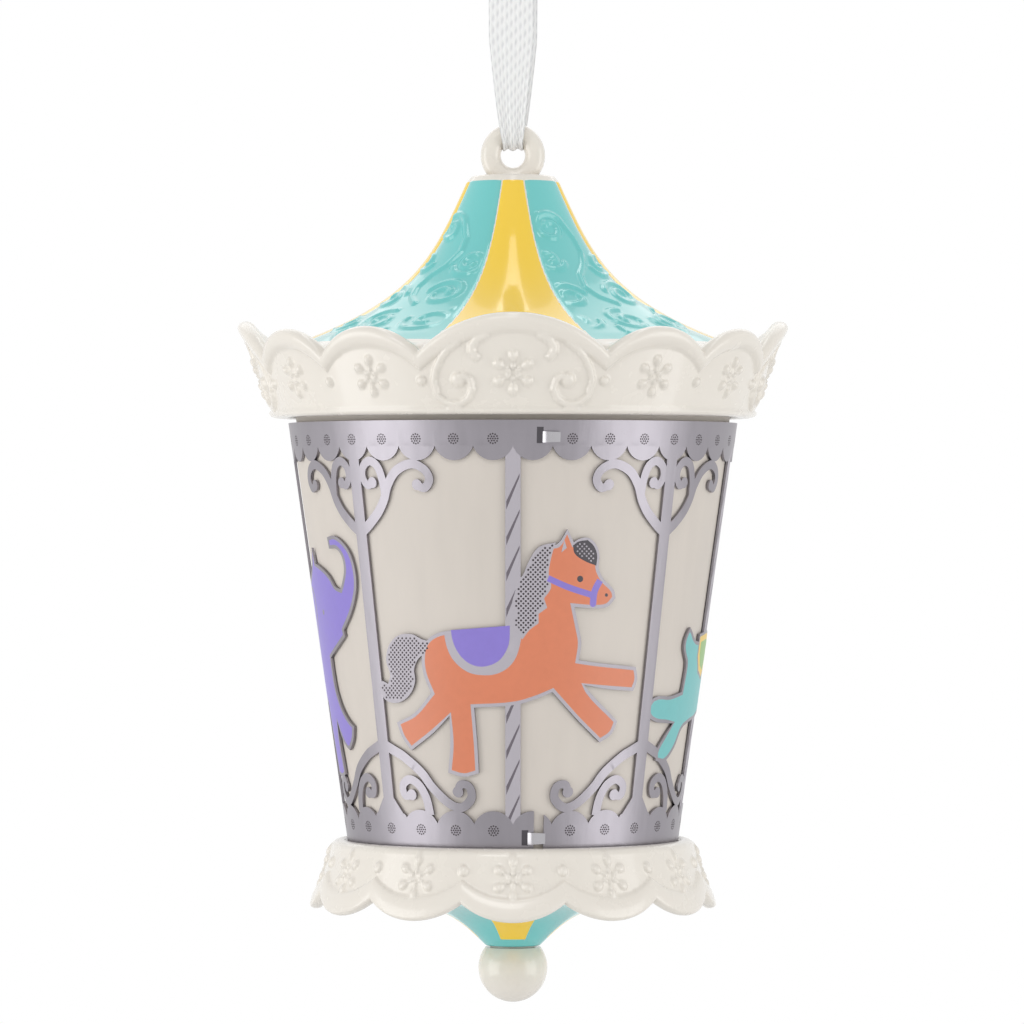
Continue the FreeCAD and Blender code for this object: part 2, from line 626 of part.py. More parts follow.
def make_knot():
    z_axis = KNOT_LIFT
    body = Part.makeCylinder(KNOT_R, KNOT_LENGTH, Vector(-KNOT_LENGTH / 2.0, 0, z_axis), Vector(1, 0, 0))
    body = body.makeFillet(0.45 * KNOT_R, [e for e in body.Edges if e.Curve.TypeId == "Part::GeomCircle"])
    tails = []
    for side in (-1, 1):
        tail = Part.makeBox(RIBBON_WIDTH, RIBBON_THICK, TAIL_LENGTH + KNOT_R,
                            Vector(-RIBBON_WIDTH / 2.0, side * RIBBON_THICK - RIBBON_THICK / 2.0, z_axis))
        tail.rotate(Vector(0, 0, z_axis), Vector(1, 0, 0), -12.0 * side)
        tails.append(tail)
    return body.multiFuse(tails).removeSplitter()


# Movement

def gear(teeth, module, z0, height, at, bore, phase):
    """Spur gear with straight-sided teeth and running backlash."""
    pitch = 360.0 / teeth
    radius = module * teeth / 2.0
    tip, root = radius + 0.8 * module, radius - 1.2 * module
    points = []
    for i in range(teeth):
        middle = phase + pitch * i
        for r, share in ((root, -0.3), (tip, -0.11), (tip, 0.11), (root, 0.3)):
            points.append(at + polar(r, middle + pitch * share))
    return extrude_polygon(points, z0, height).cut(rod(bore, z0 - 1.0, z0 + height + 1.0, at))


def bearing(a, b):
    return math.degrees(math.atan2(b.y - a.y, b.x - a.x))


def make_screw(at, z_head, down, length, radius=SCREW_R, head_r=SCREW_HEAD_R):
    """Pan-head screw; the head's seat is at z_head and the shank runs the other way."""
    sign = -1.0 if down else 1.0
    head = rod(head_r, min(z_head, z_head - sign * SCREW_HEAD_H), max(z_head, z_head - sign * SCREW_HEAD_H), at)
    shank = rod(radius, min(z_head, z_head + sign * length), max(z_head, z_head + sign * length), at)
    slot_z = z_head - sign * SCREW_HEAD_H
    slot = Part.makeBox(2.2 * head_r, 0.3 * head_r, 0.8 * SCREW_HEAD_H,
                        Vector(at.x - 1.1 * head_r, at.y - 0.15 * head_r, slot_z - 0.4 * SCREW_HEAD_H))
    return head.fuse(shank).cut(slot)


def pillar_centres():
    return [polar(PILLAR_RADIUS, angle) for angle in PILLAR_ANGLES]


def drilled(plate, holes, z0, z1):
    cutters = [rod(radius, z0 - 1.0, z1 + 1.0, at) for at, radius in holes]
    return plate.cut(Part.makeCompound(cutters))


def make_top_plate():
    plate = rod(OPEN_R - PLATE_FIT, Z_PLATE, Z_LEDGE)
    holes = [(at, SCREW_R + SCREW_FIT) for at in pillar_centres()]
    holes += [(CYLINDER_AT, CYLINDER_ARBOR_R + PIVOT_FIT), (IDLER_AT, IDLER_ARBOR_R + PIVOT_FIT),
              (FLY_AT, FLY_ARBOR_R + PIVOT_FIT)]
    return drilled(plate, holes, Z_PLATE, Z_LEDGE)


CLICK_AT = polar(CLICK_REACH, 135.0)


def make_bedplate():
    plate = rod(BED_R, Z_BED, Z_BED_TOP)
    holes = [(at, SCREW_R + SCREW_FIT) for at in pillar_centres()]
    holes += [(CYLINDER_AT, CYLINDER_ARBOR_R + PIVOT_FIT), (IDLER_AT, IDLER_ARBOR_R + PIVOT_FIT),
              (FLY_AT, FLY_ARBOR_R + PIVOT_FIT), (Vector(0, 0, 0), ARBOR_R + PIVOT_FIT), (CLICK_AT, CLICK_STUD_R)]
    return drilled(plate, holes, Z_BED, Z_BED_TOP)


def make_pillars():
    pillars = []
    for at in pillar_centres():
        post = rod(PILLAR_R, Z_BED_TOP, Z_PLATE, at)
        post = post.cut(rod(SCREW_R + SCREW_FIT, Z_BED_TOP - 1.0, Z_BED_TOP + 2.0 * SCREW_BITE, at))
        pillars.append(post.cut(rod(SCREW_R + SCREW_FIT, Z_PLATE - 2.0 * SCREW_BITE, Z_PLATE + 1.0, at)))
    return Part.makeCompound(pillars)


def make_pillar_screws(top):
    z_head = Z_LEDGE if top else Z_BED
    return Part.makeCompound([make_screw(at, z_head, top, PLATE_THICK + SCREW_BITE) for at in pillar_centres()])


def make_barrel():
    wheel = gear(GREAT_TEETH, BIG_MODULE, Z_GREAT, GREAT_THICK, Vector(0, 0, 0), ARBOR_R + PIVOT_FIT, 0.0)
    wall = tube(BARREL_R, BARREL_R - BARREL_WALL, Z_BARREL, Z_GREAT)
    return wheel.fuse(wall).removeSplitter()


def disc_holes(radius):
    return [(polar(DISC_SCREW_RADIUS, angle), radius) for angle in DISC_SCREW_ANGLES]


def make_barrel_cover():
    plate = tube(BARREL_R - BARREL_WALL, ARBOR_R + PIVOT_FIT, Z_BARREL, Z_BARREL + COVER_THICK)
    return drilled(plate, disc_holes(SCREW_R + SCREW_FIT), Z_BARREL, Z_BARREL + COVER_THICK)


def make_mainspring():
    """Coil of half turns between the hub and the barrel wall."""
    r_in = HUB_R + SPRING_THICK
    r_out = BARREL_R - BARREL_WALL - SPRING_THICK
    step = (r_out - SPRING_THICK - r_in) / (2.0 * SPRING_TURNS)
    rows = []
    for offset in (0.0, SPRING_THICK):
        edges = []
        x = r_in + offset
        sign = 1.0
        for i in range(2 * SPRING_TURNS):
            radius = r_in + offset + step * (i + 0.5)
            centre = x - sign * radius
            edges.append(Part.Arc(Vector(x, 0, 0), Vector(centre, sign * radius, 0),
                                  Vector(centre - sign * radius, 0, 0)).toShape())
            x = centre - sign * radius
            sign = -sign
        rows.append(edges)
    ends = [Part.makeLine(rows[0][k].Vertexes[k].Point, rows[1][k].Vertexes[k].Point) for k in (0, -1)]
    face = Part.Face(Part.Wire(Part.__sortEdges__(rows[0] + rows[1] + ends)))
    z0 = Z_BARREL + COVER_THICK + SPRING_SIDE_GAP
    coil = face.extrude(Vector(0, 0, Z_GREAT - SPRING_SIDE_GAP - z0))
    coil.translate(Vector(0, 0, z0))
    return coil


def make_arbor():
    shaft = rod(ARBOR_R, Z_KNOB - KNOB_GRIP, Z_ARBOR_TOP)
    hub = rod(HUB_R, Z_BARREL + COVER_THICK + SPRING_SIDE_GAP, Z_GREAT - SPRING_SIDE_GAP)
    return shaft.fuse(hub).removeSplitter()


def make_drive_disc():
    top, low = drum_inner(Z_BARREL) - DISC_BOND, drum_inner(Z_DISC) - DISC_BOND
    bore = ARBOR_R + 0.3
    plate = sweep_profile(chain([(bore, Z_BARREL), (top, Z_BARREL), (low, Z_DISC), (bore, Z_DISC), (bore, Z_BARREL)]))
    return drilled(plate, disc_holes(SCREW_R + SCREW_FIT), Z_DISC, Z_BARREL)


def make_disc_screws():
    length = DISC_THICK + COVER_THICK
    return Part.makeCompound([make_screw(at, Z_DISC, False, length) for at, radius in disc_holes(0)])


def make_base_bush():
    body = rod(BUSH_R, Z_NECK, Z_NECK + BUSH_H)
    flange = rod(BUSH_FLANGE_R, Z_NECK + BUSH_H - BUSH_FLANGE_H, Z_NECK + BUSH_H)
    return body.fuse(flange).cut(rod(ARBOR_R + PIVOT_FIT, Z_NECK - 1.0, Z_NECK + BUSH_H + 1.0)).removeSplitter()


RATCHET_STEP = 360.0 / RATCHET_TEETH
CLICK_ANGLE = 90.0


def make_ratchet():
    points = []
    for i in range(RATCHET_TEETH):
        angle = CLICK_ANGLE + RATCHET_STEP * i
        points.append(polar(RATCHET_R - RATCHET_DEPTH, angle))
        points.append(polar(RATCHET_R, angle))
    teeth = extrude_polygon(points, Z_RATCHET, RATCHET_THICK)
    return teeth.cut(rod(ARBOR_R, Z_RATCHET - 1.0, Z_RING))


def make_click():
    """Pawl whose nose rests in a tooth space, with its hub on the stud."""
    root = RATCHET_R - RATCHET_DEPTH
    nose = [polar(root + 0.2, CLICK_ANGLE - 2.5), polar(RATCHET_R + CLICK_ARM_W, CLICK_ANGLE - 2.5),
            polar(RATCHET_R + CLICK_ARM_W, CLICK_ANGLE - 14.0), polar(RATCHET_R + 0.05, CLICK_ANGLE - 12.0)]
    heel = polar(RATCHET_R + CLICK_ARM_W, CLICK_ANGLE - 14.0)
    along = (CLICK_AT - heel).normalize()
    across = Vector(-along.y, along.x, 0) * CLICK_ARM_W
    arm = [heel, CLICK_AT + across * 0.3, CLICK_AT - across * 0.7, heel - across]
    body = extrude_polygon(nose, Z_RATCHET, RATCHET_THICK)
    body = body.fuse(extrude_polygon(arm, Z_RATCHET, RATCHET_THICK))
    body = body.fuse(rod(CLICK_HUB_R, Z_RATCHET, Z_RING, CLICK_AT))
    return body.cut(rod(CLICK_STUD_R + PIVOT_FIT, Z_RATCHET - 1.0, Z_RING + 1.0, CLICK_AT)).removeSplitter()


def click_spring_height():
    return 2.5 * CLICK_SPRING_WIRE * CLICK_SPRING_TURNS


def make_click_stud():
    z_head = Z_RING + click_spring_height() + 4.0 * CLICK_SPRING_WIRE
    return rod(CLICK_STUD_R, Z_BED, z_head, CLICK_AT).fuse(rod(CLICK_HUB_R, z_head, z_head + 0.5, CLICK_AT))


def make_click_spring():
    radius = CLICK_STUD_R + 2.0 * CLICK_SPRING_WIRE
    helix = Part.makeHelix(2.5 * CLICK_SPRING_WIRE, click_spring_height(), radius)
    circle = Part.Wire(Part.makeCircle(CLICK_SPRING_WIRE, Vector(radius, 0, 0), Vector(0, 1, 0)))
    coil = Part.Wire(helix.Edges).makePipeShell([circle], True, True)
    coil.translate(Vector(CLICK_AT.x, CLICK_AT.y, Z_RING + 2.0 * CLICK_SPRING_WIRE))
    return coil


def make_pin_cylinder():
    body = tube(CYLINDER_R, CYLINDER_ARBOR_R, Z_CYLINDER, Z_CYLINDER_TOP, CYLINDER_AT)
    pins = []
    for tooth in range(COMB_TEETH):
        for k in range(PINS_PER_TOOTH):
            angle = (137.5 * tooth + 97.0 * k + 20.0) % 360.0
            at = CYLINDER_AT + Vector(0, 0, comb_z(tooth))
            pins.append(Part.makeCylinder(PIN_R, CYLINDER_R + PIN_PROUD - 0.8 * CYLINDER_R,
                                          at + polar(0.8 * CYLINDER_R, angle), polar(1.0, angle)))
    return body.multiFuse(pins)


def comb_z(tooth):
    span = COMB_PITCH * (COMB_TEETH - 1)
    return Z_CYLINDER + (CYLINDER_H - span) / 2.0 + COMB_PITCH * tooth


COMB_TIP = CYLINDER_R + PIN_PROUD + TIP_GAP
COMB_ROOT = COMB_TIP + TOOTH_L
COMB_BACK = COMB_ROOT + COMB_HEEL
COMB_X = CYLINDER_AT.x - COMB_THICK / 2.0


def comb_screw_heights():
    return [comb_z(0.2 * COMB_TEETH), comb_z(0.75 * COMB_TEETH)]


def make_comb():
    points = [Vector(COMB_X, COMB_BACK, comb_z(0) - TOOTH_W / 2.0)]
    for tooth in range(COMB_TEETH):
        low, high = comb_z(tooth) - TOOTH_W / 2.0, comb_z(tooth) + TOOTH_W / 2.0
        points += [Vector(COMB_X, COMB_ROOT, low), Vector(COMB_X, COMB_TIP, low), Vector(COMB_X, COMB_TIP, high),
                   Vector(COMB_X, COMB_ROOT, high)]
    points.append(Vector(COMB_X, COMB_BACK, comb_z(COMB_TEETH - 1) + TOOTH_W / 2.0))
    points.pop(1)
    points.pop(-2)
    plate = Part.Face(Part.makePolygon(points + points[:1])).extrude(Vector(COMB_THICK, 0, 0))
    return plate.cut(Part.makeCompound(comb_bores(COMB_X - 1.0, COMB_THICK + 2.0)))


def comb_bores(x0, length):
    y = COMB_ROOT + COMB_HEEL / 2.0
    return [Part.makeCylinder(COMB_SCREW_R + SCREW_FIT, length, Vector(x0, y, z), Vector(1, 0, 0))
            for z in comb_screw_heights()]


def make_comb_post():
    x0 = COMB_X + COMB_THICK
    block = Part.makeBox(COMB_POST_W, COMB_HEEL, comb_z(COMB_TEETH) - Z_BED_TOP, Vector(x0, COMB_ROOT, Z_BED_TOP))
    return block.cut(Part.makeCompound(comb_bores(x0 - 1.0, 1.0 + 0.8 * COMB_POST_W)))


def make_comb_screws():
    screws = []
    y = COMB_ROOT + COMB_HEEL / 2.0
    for z in comb_screw_heights():
        head = Part.makeCylinder(1.8 * COMB_SCREW_R, SCREW_HEAD_H, Vector(COMB_X, y, z), Vector(-1, 0, 0))
        shank = Part.makeCylinder(COMB_SCREW_R, COMB_THICK + 0.6 * COMB_POST_W, Vector(COMB_X, y, z), Vector(1, 0, 0))
        screws.append(head.fuse(shank))
    return Part.makeCompound(screws)


def make_cylinder_arbor():
    return rod(CYLINDER_ARBOR_R, Z_GREAT - 2.0 * PINION_EXTRA, Z_LEDGE, CYLINDER_AT)


def make_cylinder_pinion():
    phase = 180.0 + 180.0 / CYLINDER_PINION_TEETH
    return gear(CYLINDER_PINION_TEETH, BIG_MODULE, Z_GREAT - PINION_EXTRA, GREAT_THICK + 2.0 * PINION_EXTRA,
                CYLINDER_AT, CYLINDER_ARBOR_R, phase)


def make_cylinder_wheel():
    return gear(CYLINDER_WHEEL_TEETH, SMALL_MODULE, Z_CYLINDER_WHEEL, WHEEL_THICK, CYLINDER_AT, CYLINDER_ARBOR_R,
                IDLER_BEARING)


def make_idler_pinion():
    phase = bearing(IDLER_AT, CYLINDER_AT) + 180.0 / IDLER_PINION_TEETH
    return gear(IDLER_PINION_TEETH, SMALL_MODULE, Z_CYLINDER_WHEEL - PINION_EXTRA, WHEEL_THICK + 2.0 * PINION_EXTRA,
                IDLER_AT, IDLER_ARBOR_R, phase)


def make_idler_wheel():
    return gear(IDLER_WHEEL_TEETH, SMALL_MODULE, Z_IDLER_WHEEL, WHEEL_THICK, IDLER_AT, IDLER_ARBOR_R, FLY_BEARING)


def make_fly_pinion():
    phase = bearing(FLY_AT, IDLER_AT) + 180.0 / FLY_PINION_TEETH
    return gear(FLY_PINION_TEETH, SMALL_MODULE, Z_IDLER_WHEEL - PINION_EXTRA, WHEEL_THICK + 2.0 * PINION_EXTRA,
                FLY_AT, FLY_ARBOR_R, phase)


def make_fly_fan():
    z0 = Z_CYLINDER + 1.0
    sleeve = rod(FLY_SLEEVE_R, z0, z0 + FLY_H, FLY_AT)
    blade = Part.makeBox(2.0 * FLY_R, FLY_THICK, FLY_H, Vector(FLY_AT.x - FLY_R, FLY_AT.y - FLY_THICK / 2.0, z0))
    return sleeve.fuse(blade).cut(rod(FLY_ARBOR_R, z0 - 1.0, z0 + FLY_H + 1.0, FLY_AT)).removeSplitter()


NODES = {
    "ribbon_loop": make_ribbon,
    "ribbon_knot": make_knot,
    "canopy": make_canopy,
    "top_plate": make_top_plate,
    "pillars": make_pillars,
    "pillar_screws_top": lambda: make_pillar_screws(True),
    "pillar_screws_bottom": lambda: make_pillar_screws(False),
    "bedplate": make_bedplate,
    "click_stud": make_click_stud,
    "comb": make_comb,
    "comb_post": make_comb_post,
    "comb_screws": make_comb_screws,
    "drum": make_drum,
    "metal_wrap": make_wrap,
    "base": make_base,
    "base_bush": make_base_bush,
    "spring_barrel": make_barrel,
    "barrel_cover": make_barrel_cover,
    "mainspring": make_mainspring,
    "drive_disc": make_drive_disc,
    "disc_screws": make_disc_screws,
    "winding_arbor": make_arbor,
    "ratchet_wheel": make_ratchet,
    "retaining_ring": lambda: tube(RING_R, ARBOR_R, Z_RING, Z_RING + RING_THICK),
    "thrust_washer": lambda: tube(WASHER_R, ARBOR_R + PIVOT_FIT, Z_KNOB, Z_NECK),
    "ball_knob": make_knob,
    "click": make_click,
    "click_spring": make_click_spring,
    "pin_cylinder": make_pin_cylinder,
    "cylinder_arbor": make_cylinder_arbor,
    "cylinder_pinion": make_cylinder_pinion,
    "cylinder_wheel": make_cylinder_wheel,
    "idler_arbor": lambda: rod(IDLER_ARBOR_R, Z_BED, Z_LEDGE, IDLER_AT),
    "idler_pinion": make_idler_pinion,
    "idler_wheel": make_idler_wheel,
    "fly_arbor": lambda: rod(FLY_ARBOR_R, Z_BED, Z_LEDGE, FLY_AT),
    "fly_pinion": make_fly_pinion,
    "fly_fan": make_fly_fan,
}

os.makedirs("parts", exist_ok=True)
for name, maker in NODES.items():
    shape = maker()
    shape.exportStep("parts/" + name + ".step")
    box = shape.BoundBox
    print(name, len(shape.Solids), "solids, valid", shape.isValid(), "z", round(box.ZMin, 2), round(box.ZMax, 2))
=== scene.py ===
# %% [markdown]
# This file is a lesson on the looks of a hanging porcelain carousel that plays a tune. The imported CAD model
# is loaded first as a fixed frame. The looks could be modelled apart and fitted by eye afterwards, but then
# nothing would line up or move together, so each piece made here is placed from the frame's own boxes.

# %% Load the frame
import math

import bmesh
import bpy
import numpy as np
from mathutils.geometry import delaunay_2d_cdt
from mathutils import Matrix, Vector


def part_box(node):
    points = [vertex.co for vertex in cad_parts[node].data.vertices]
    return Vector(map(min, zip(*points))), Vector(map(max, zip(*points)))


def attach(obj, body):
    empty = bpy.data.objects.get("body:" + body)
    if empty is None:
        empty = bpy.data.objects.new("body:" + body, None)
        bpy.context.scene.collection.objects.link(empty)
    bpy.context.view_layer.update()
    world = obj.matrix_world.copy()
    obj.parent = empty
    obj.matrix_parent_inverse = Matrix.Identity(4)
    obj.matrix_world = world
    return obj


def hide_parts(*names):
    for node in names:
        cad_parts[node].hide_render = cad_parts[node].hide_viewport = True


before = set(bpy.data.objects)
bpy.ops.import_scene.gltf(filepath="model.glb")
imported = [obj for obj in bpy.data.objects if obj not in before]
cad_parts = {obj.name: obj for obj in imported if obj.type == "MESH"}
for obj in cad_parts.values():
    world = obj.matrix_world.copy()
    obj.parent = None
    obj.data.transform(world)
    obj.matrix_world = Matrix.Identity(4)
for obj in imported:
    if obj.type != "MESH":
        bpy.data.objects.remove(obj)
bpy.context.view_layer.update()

MM = 0.001

# %% [markdown]
# The real thing is two porcelain castings with an etched sheet between them. Their heights could be typed in
# again, but read from the CAD boxes they can't drift away from the CAD. Every size in this file is in
# millimetres, z is up and the front faces minus y.

# %% Boxes of the castings
def box_mm(node):
    low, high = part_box(node)
    return np.array(low) / MM, np.array(high) / MM


canopy_low, canopy_high = box_mm("canopy")
wrap_low, wrap_high = box_mm("metal_wrap")
base_low, base_high = box_mm("base")
EYE_R = 4.3
EYE_Z = canopy_high[2] - EYE_R
RIM_Z = canopy_low[2]
SEAT_Z = wrap_low[2]
NECK_Z = base_low[2]
print("eye at", round(EYE_Z, 2), "rim at", round(RIM_Z, 2), "seat at", round(SEAT_Z, 2))

# %% [markdown]
# The camera stands level with the middle of the piece, far away behind a long lens, as for a catalogue
# picture. A short lens close by would be quicker to place, but it would curve the bands and the scalloped
# edges, which are almost straight in the picture. The lens follows from the distance and from the height that
# the picture takes in.

# %% Camera
CAMERA_DISTANCE = 720.0
CAMERA_SIDE = -0.12
VIEW_HEIGHT = 136.5
VIEW_MIDDLE = EYE_Z - 47.5
SENSOR = 36.0

camera_data = bpy.data.cameras.new("camera")
camera_data.sensor_width = SENSOR
camera_data.lens = SENSOR * CAMERA_DISTANCE / VIEW_HEIGHT
camera = bpy.data.objects.new("camera", camera_data)
camera.location = (CAMERA_SIDE * MM, -CAMERA_DISTANCE * MM, VIEW_MIDDLE * MM)
camera.rotation_euler = (math.radians(90), 0, 0)
bpy.context.scene.collection.objects.link(camera)
bpy.context.scene.camera = camera
bpy.context.scene.view_settings.view_transform = "Standard"
print("lens", round(camera_data.lens, 1), "mm")

# %% [markdown]
# Paint and glaze are easiest to describe as they look on a screen, from 0 to 255. Blender's shaders want
# linear light, in which middle grey is only about a fifth. This helper does the change, so that the colours
# further down stay readable.

# %% Colours as seen
def seen(red, green, blue):
    def linear(value):
        share = value / 255.0
        return share / 12.92 if share <= 0.04045 else ((share + 0.055) / 1.055) ** 2.4
    return (linear(red), linear(green), linear(blue), 1.0)


print("middle grey in linear light:", round(seen(128, 128, 128)[0], 3))

# %% [markdown]
# A node group is a small machine with named sockets that several materials can share. Its sockets are made on
# the group's interface. The second helper adds one node and sets and links its inputs in a single line, which
# keeps the recipes below short; the same could be done by hand in the shader editor.

# %% Node helpers
def new_group(name, inputs, outputs):
    group = bpy.data.node_groups.new(name, "ShaderNodeTree")
    for label, kind, value in inputs:
        socket = group.interface.new_socket(label, in_out="INPUT", socket_type=kind)
        socket.default_value = value
    for label, kind in outputs:
        group.interface.new_socket(label, in_out="OUTPUT", socket_type=kind)
    enter = group.nodes.new("NodeGroupInput")
    leave = group.nodes.new("NodeGroupOutput")
    return group, enter, leave


def add_node(tree, kind, settings=None, links=None):
    node = tree.nodes.new(kind)
    for key, value in (settings or {}).items():
        if isinstance(key, str) and hasattr(node, key):
            setattr(node, key, value)
        else:
            node.inputs[key].default_value = value
    for key, source in (links or {}).items():
        tree.links.new(source, node.inputs[key])
    return node


print("helpers for groups and nodes are ready")

# %% [markdown]
# No glaze or metal is perfectly even. Glaze has a faint mottling and ripple, and rolled metal has a fine
# grain that runs one way. Both are noise that tints the colour, varies the roughness and gives a small
# height, so one recipe makes both groups, and a stretch of the noise turns mottling into grain. An image
# would do it too, but noise needs no unwrapping.

# %% Mottled skin and metal grain
BROAD_SCALE = 45.0


def surface_group(name, stretch):
    """Noise that tints a colour, varies the roughness and gives a small height."""
    number, colour = "NodeSocketFloat", "NodeSocketColor"
    group, enter, leave = new_group(
        name,
        [("Color", colour, (0.8, 0.8, 0.8, 1)), ("Scale", number, 200.0), ("Tint", number, 0.1),
         ("Roughness", number, 0.2), ("Spread", number, 0.1)],
        [("Color", colour), ("Roughness", number), ("Height", number)])
    place = add_node(group, "ShaderNodeTexCoord")
    stretched = add_node(group, "ShaderNodeMapping", {"Scale": stretch}, {"Vector": place.outputs["Object"]})
    fine = add_node(group, "ShaderNodeTexNoise", {"Detail": 4.0},
                    {"Vector": stretched.outputs[0], "Scale": enter.outputs["Scale"]})
    broad = add_node(group, "ShaderNodeTexNoise", {"Scale": BROAD_SCALE, "Detail": 2.0},
                     {"Vector": place.outputs["Object"]})
    both = add_node(group, "ShaderNodeMath", {"operation": "ADD"}, {0: fine.outputs[0], 1: broad.outputs[0]})
    centred = add_node(group, "ShaderNodeMath", {"operation": "SUBTRACT", 1: 1.0}, {0: both.outputs[0]})
    tint = add_node(group, "ShaderNodeMath", {"operation": "MULTIPLY_ADD", 2: 1.0},
                    {0: centred.outputs[0], 1: enter.outputs["Tint"]})
    shade = add_node(group, "ShaderNodeVectorMath", {"operation": "SCALE"},
                     {0: enter.outputs["Color"], "Scale": tint.outputs[0]})
    rough = add_node(group, "ShaderNodeMath", {"operation": "MULTIPLY_ADD"},
                     {0: centred.outputs[0], 1: enter.outputs["Spread"], 2: enter.outputs["Roughness"]})
    group.links.new(shade.outputs[0], leave.inputs["Color"])
    group.links.new(rough.outputs[0], leave.inputs["Roughness"])
    group.links.new(fine.outputs[0], leave.inputs["Height"])
    return group


GLAZE_SKIN = surface_group("glaze_skin", (1, 1, 1))
METAL_GRAIN = surface_group("metal_grain", (1, 1, 0.12))
print("groups:", GLAZE_SKIN.name, METAL_GRAIN.name)

# %% [markdown]
# A finish is a material in which a shared group feeds the colour, the roughness and a small bump, while the
# shader itself stays in the material. What is the same all over the surface, such as a clear coat, is set on
# the shader's own sockets, because an export keeps it only there.

# %% Finish from a shared group
RIPPLE_DEPTH = 0.0002


def finish(name, group, color, scale, tint, roughness, spread, bump, **shader):
    """Material whose colour, roughness and ripple come from a shared group."""
    material = bpy.data.materials.new(name)
    material.use_nodes = True
    tree = material.node_tree
    surface = tree.nodes["Principled BSDF"]
    skin = add_node(tree, "ShaderNodeGroup", {"node_tree": group})
    for label, value in (("Color", color), ("Scale", scale), ("Tint", tint), ("Roughness", roughness),
                         ("Spread", spread)):
        skin.inputs[label].default_value = value
    ripple = add_node(tree, "ShaderNodeBump", {"Strength": bump, "Distance": RIPPLE_DEPTH},
                      {"Height": skin.outputs["Height"]})
    tree.links.new(skin.outputs["Color"], surface.inputs["Base Color"])
    tree.links.new(skin.outputs["Roughness"], surface.inputs["Roughness"])
    tree.links.new(ripple.outputs["Normal"], surface.inputs["Normal"])
    for label, value in shader.items():
        surface.inputs[label.replace("_", " ")].default_value = value
    return material


print("a finish has a colour, a scale, a tint, a roughness, a spread and a bump")

# %% [markdown]
# Three kinds of finish cover almost the whole piece. Glaze is glassy, so it gets a thin clear coat over a
# softer body. Enamel paint on the sheet is duller and a little speckled. Metal takes the directional grain.

# %% Glaze, enamel and metal
def glaze(name, color, roughness=0.27):
    return finish(name, GLAZE_SKIN, color, scale=420.0, tint=0.025, roughness=roughness, spread=0.04, bump=0.06,
                  Coat_Weight=0.4, Coat_Roughness=0.05)


def enamel(name, color):
    return finish(name, GLAZE_SKIN, color, scale=900.0, tint=0.1, roughness=0.42, spread=0.1, bump=0.15)


def metal(name, color, roughness):
    return finish(name, METAL_GRAIN, color, scale=900.0, tint=0.16, roughness=roughness, spread=0.18, bump=0.12,
                  Metallic=1.0)


print("kinds of finish: glaze, enamel, metal")

# %% [markdown]
# The castings are warm white porcelain, glossier where colour was glazed on. The drum behind the sheet is
# plain biscuit with faint upright streaks, so it borrows the metal's directional grain at a low strength and
# has no coat.

# %% Porcelain finishes
WHITE_GLAZE = glaze("white_glaze", seen(238, 232, 222))
TEAL_GLAZE = glaze("teal_glaze", seen(113, 207, 205), 0.14)
YELLOW_GLAZE = glaze("yellow_glaze", seen(255, 214, 58), 0.14)
CREAM_GLAZE = finish("cream_glaze", METAL_GRAIN, seen(216, 208, 199), scale=380.0, tint=0.09, roughness=0.55,
                     spread=0.1, bump=0.12)
print("porcelain:", WHITE_GLAZE.name, TEAL_GLAZE.name, YELLOW_GLAZE.name, CREAM_GLAZE.name)

# %% [markdown]
# The sheet is one metal with four surfaces. The bands and posts keep their rolled shine, the etched dots are
# dark and dull, the twist on the poles is a shade between, and round the horse the acid left a pale frosted
# surface that looks the same from every side. A higher roughness is all that frost needs.

# %% Bare metal of the sheet
SHEET_METAL = metal("sheet_metal", seen(150, 146, 152), 0.38)
ETCHED_METAL = metal("etched_metal", seen(78, 72, 76), 0.6)
TWIST_METAL = metal("twist_metal", seen(116, 110, 117), 0.5)
FROST_METAL = metal("frost_metal", seen(185, 181, 187), 0.75)
print("bare metal:", SHEET_METAL.name, ETCHED_METAL.name, TWIST_METAL.name, FROST_METAL.name)

# %% [markdown]
# The animals are filled with flat enamel, one colour to a field. Each colour is its own material and not a
# vertex colour, because a slot per colour survives the export and is easy to change.

# %% Enamels
CORAL_ENAMEL = enamel("coral_enamel", seen(221, 133, 99))
PURPLE_ENAMEL = enamel("purple_enamel", seen(142, 126, 209))
TEAL_ENAMEL = enamel("teal_enamel", seen(120, 194, 194))
YELLOW_ENAMEL = enamel("yellow_enamel", seen(238, 203, 104))
GREEN_ENAMEL = enamel("green_enamel", seen(150, 190, 120))
# The dark enamel is real paint on eyes and forelock, and painted shade in the tab slots, where the real sheet is
# open onto the drum in shadow.
DARK_ENAMEL_AND_SLOT_SHADE = enamel("dark_enamel_and_slot_shade", seen(70, 66, 72))
print("enamels:", CORAL_ENAMEL.name, PURPLE_ENAMEL.name, TEAL_ENAMEL.name, YELLOW_ENAMEL.name, GREEN_ENAMEL.name)

# %% [markdown]
# The works can't be seen while the piece is whole, but a reader who takes it apart should find brass plates,
# steel arbors and blued springs. The same metal recipe gives them all.

# %% Finishes inside the drum
BRASS = metal("brass", seen(206, 172, 104), 0.3)
STEEL = metal("steel", seen(180, 178, 182), 0.32)
BLUED_STEEL = metal("blued_steel", seen(96, 104, 124), 0.3)
FAN_SHEET = metal("fan_sheet", seen(205, 205, 208), 0.34)
MOULDED_PLASTIC = finish("moulded_plastic", GLAZE_SKIN, seen(222, 218, 208), scale=600.0, tint=0.08,
                         roughness=0.5, spread=0.1, bump=0.2)
print(len(bpy.data.materials), "materials with the frame's own")
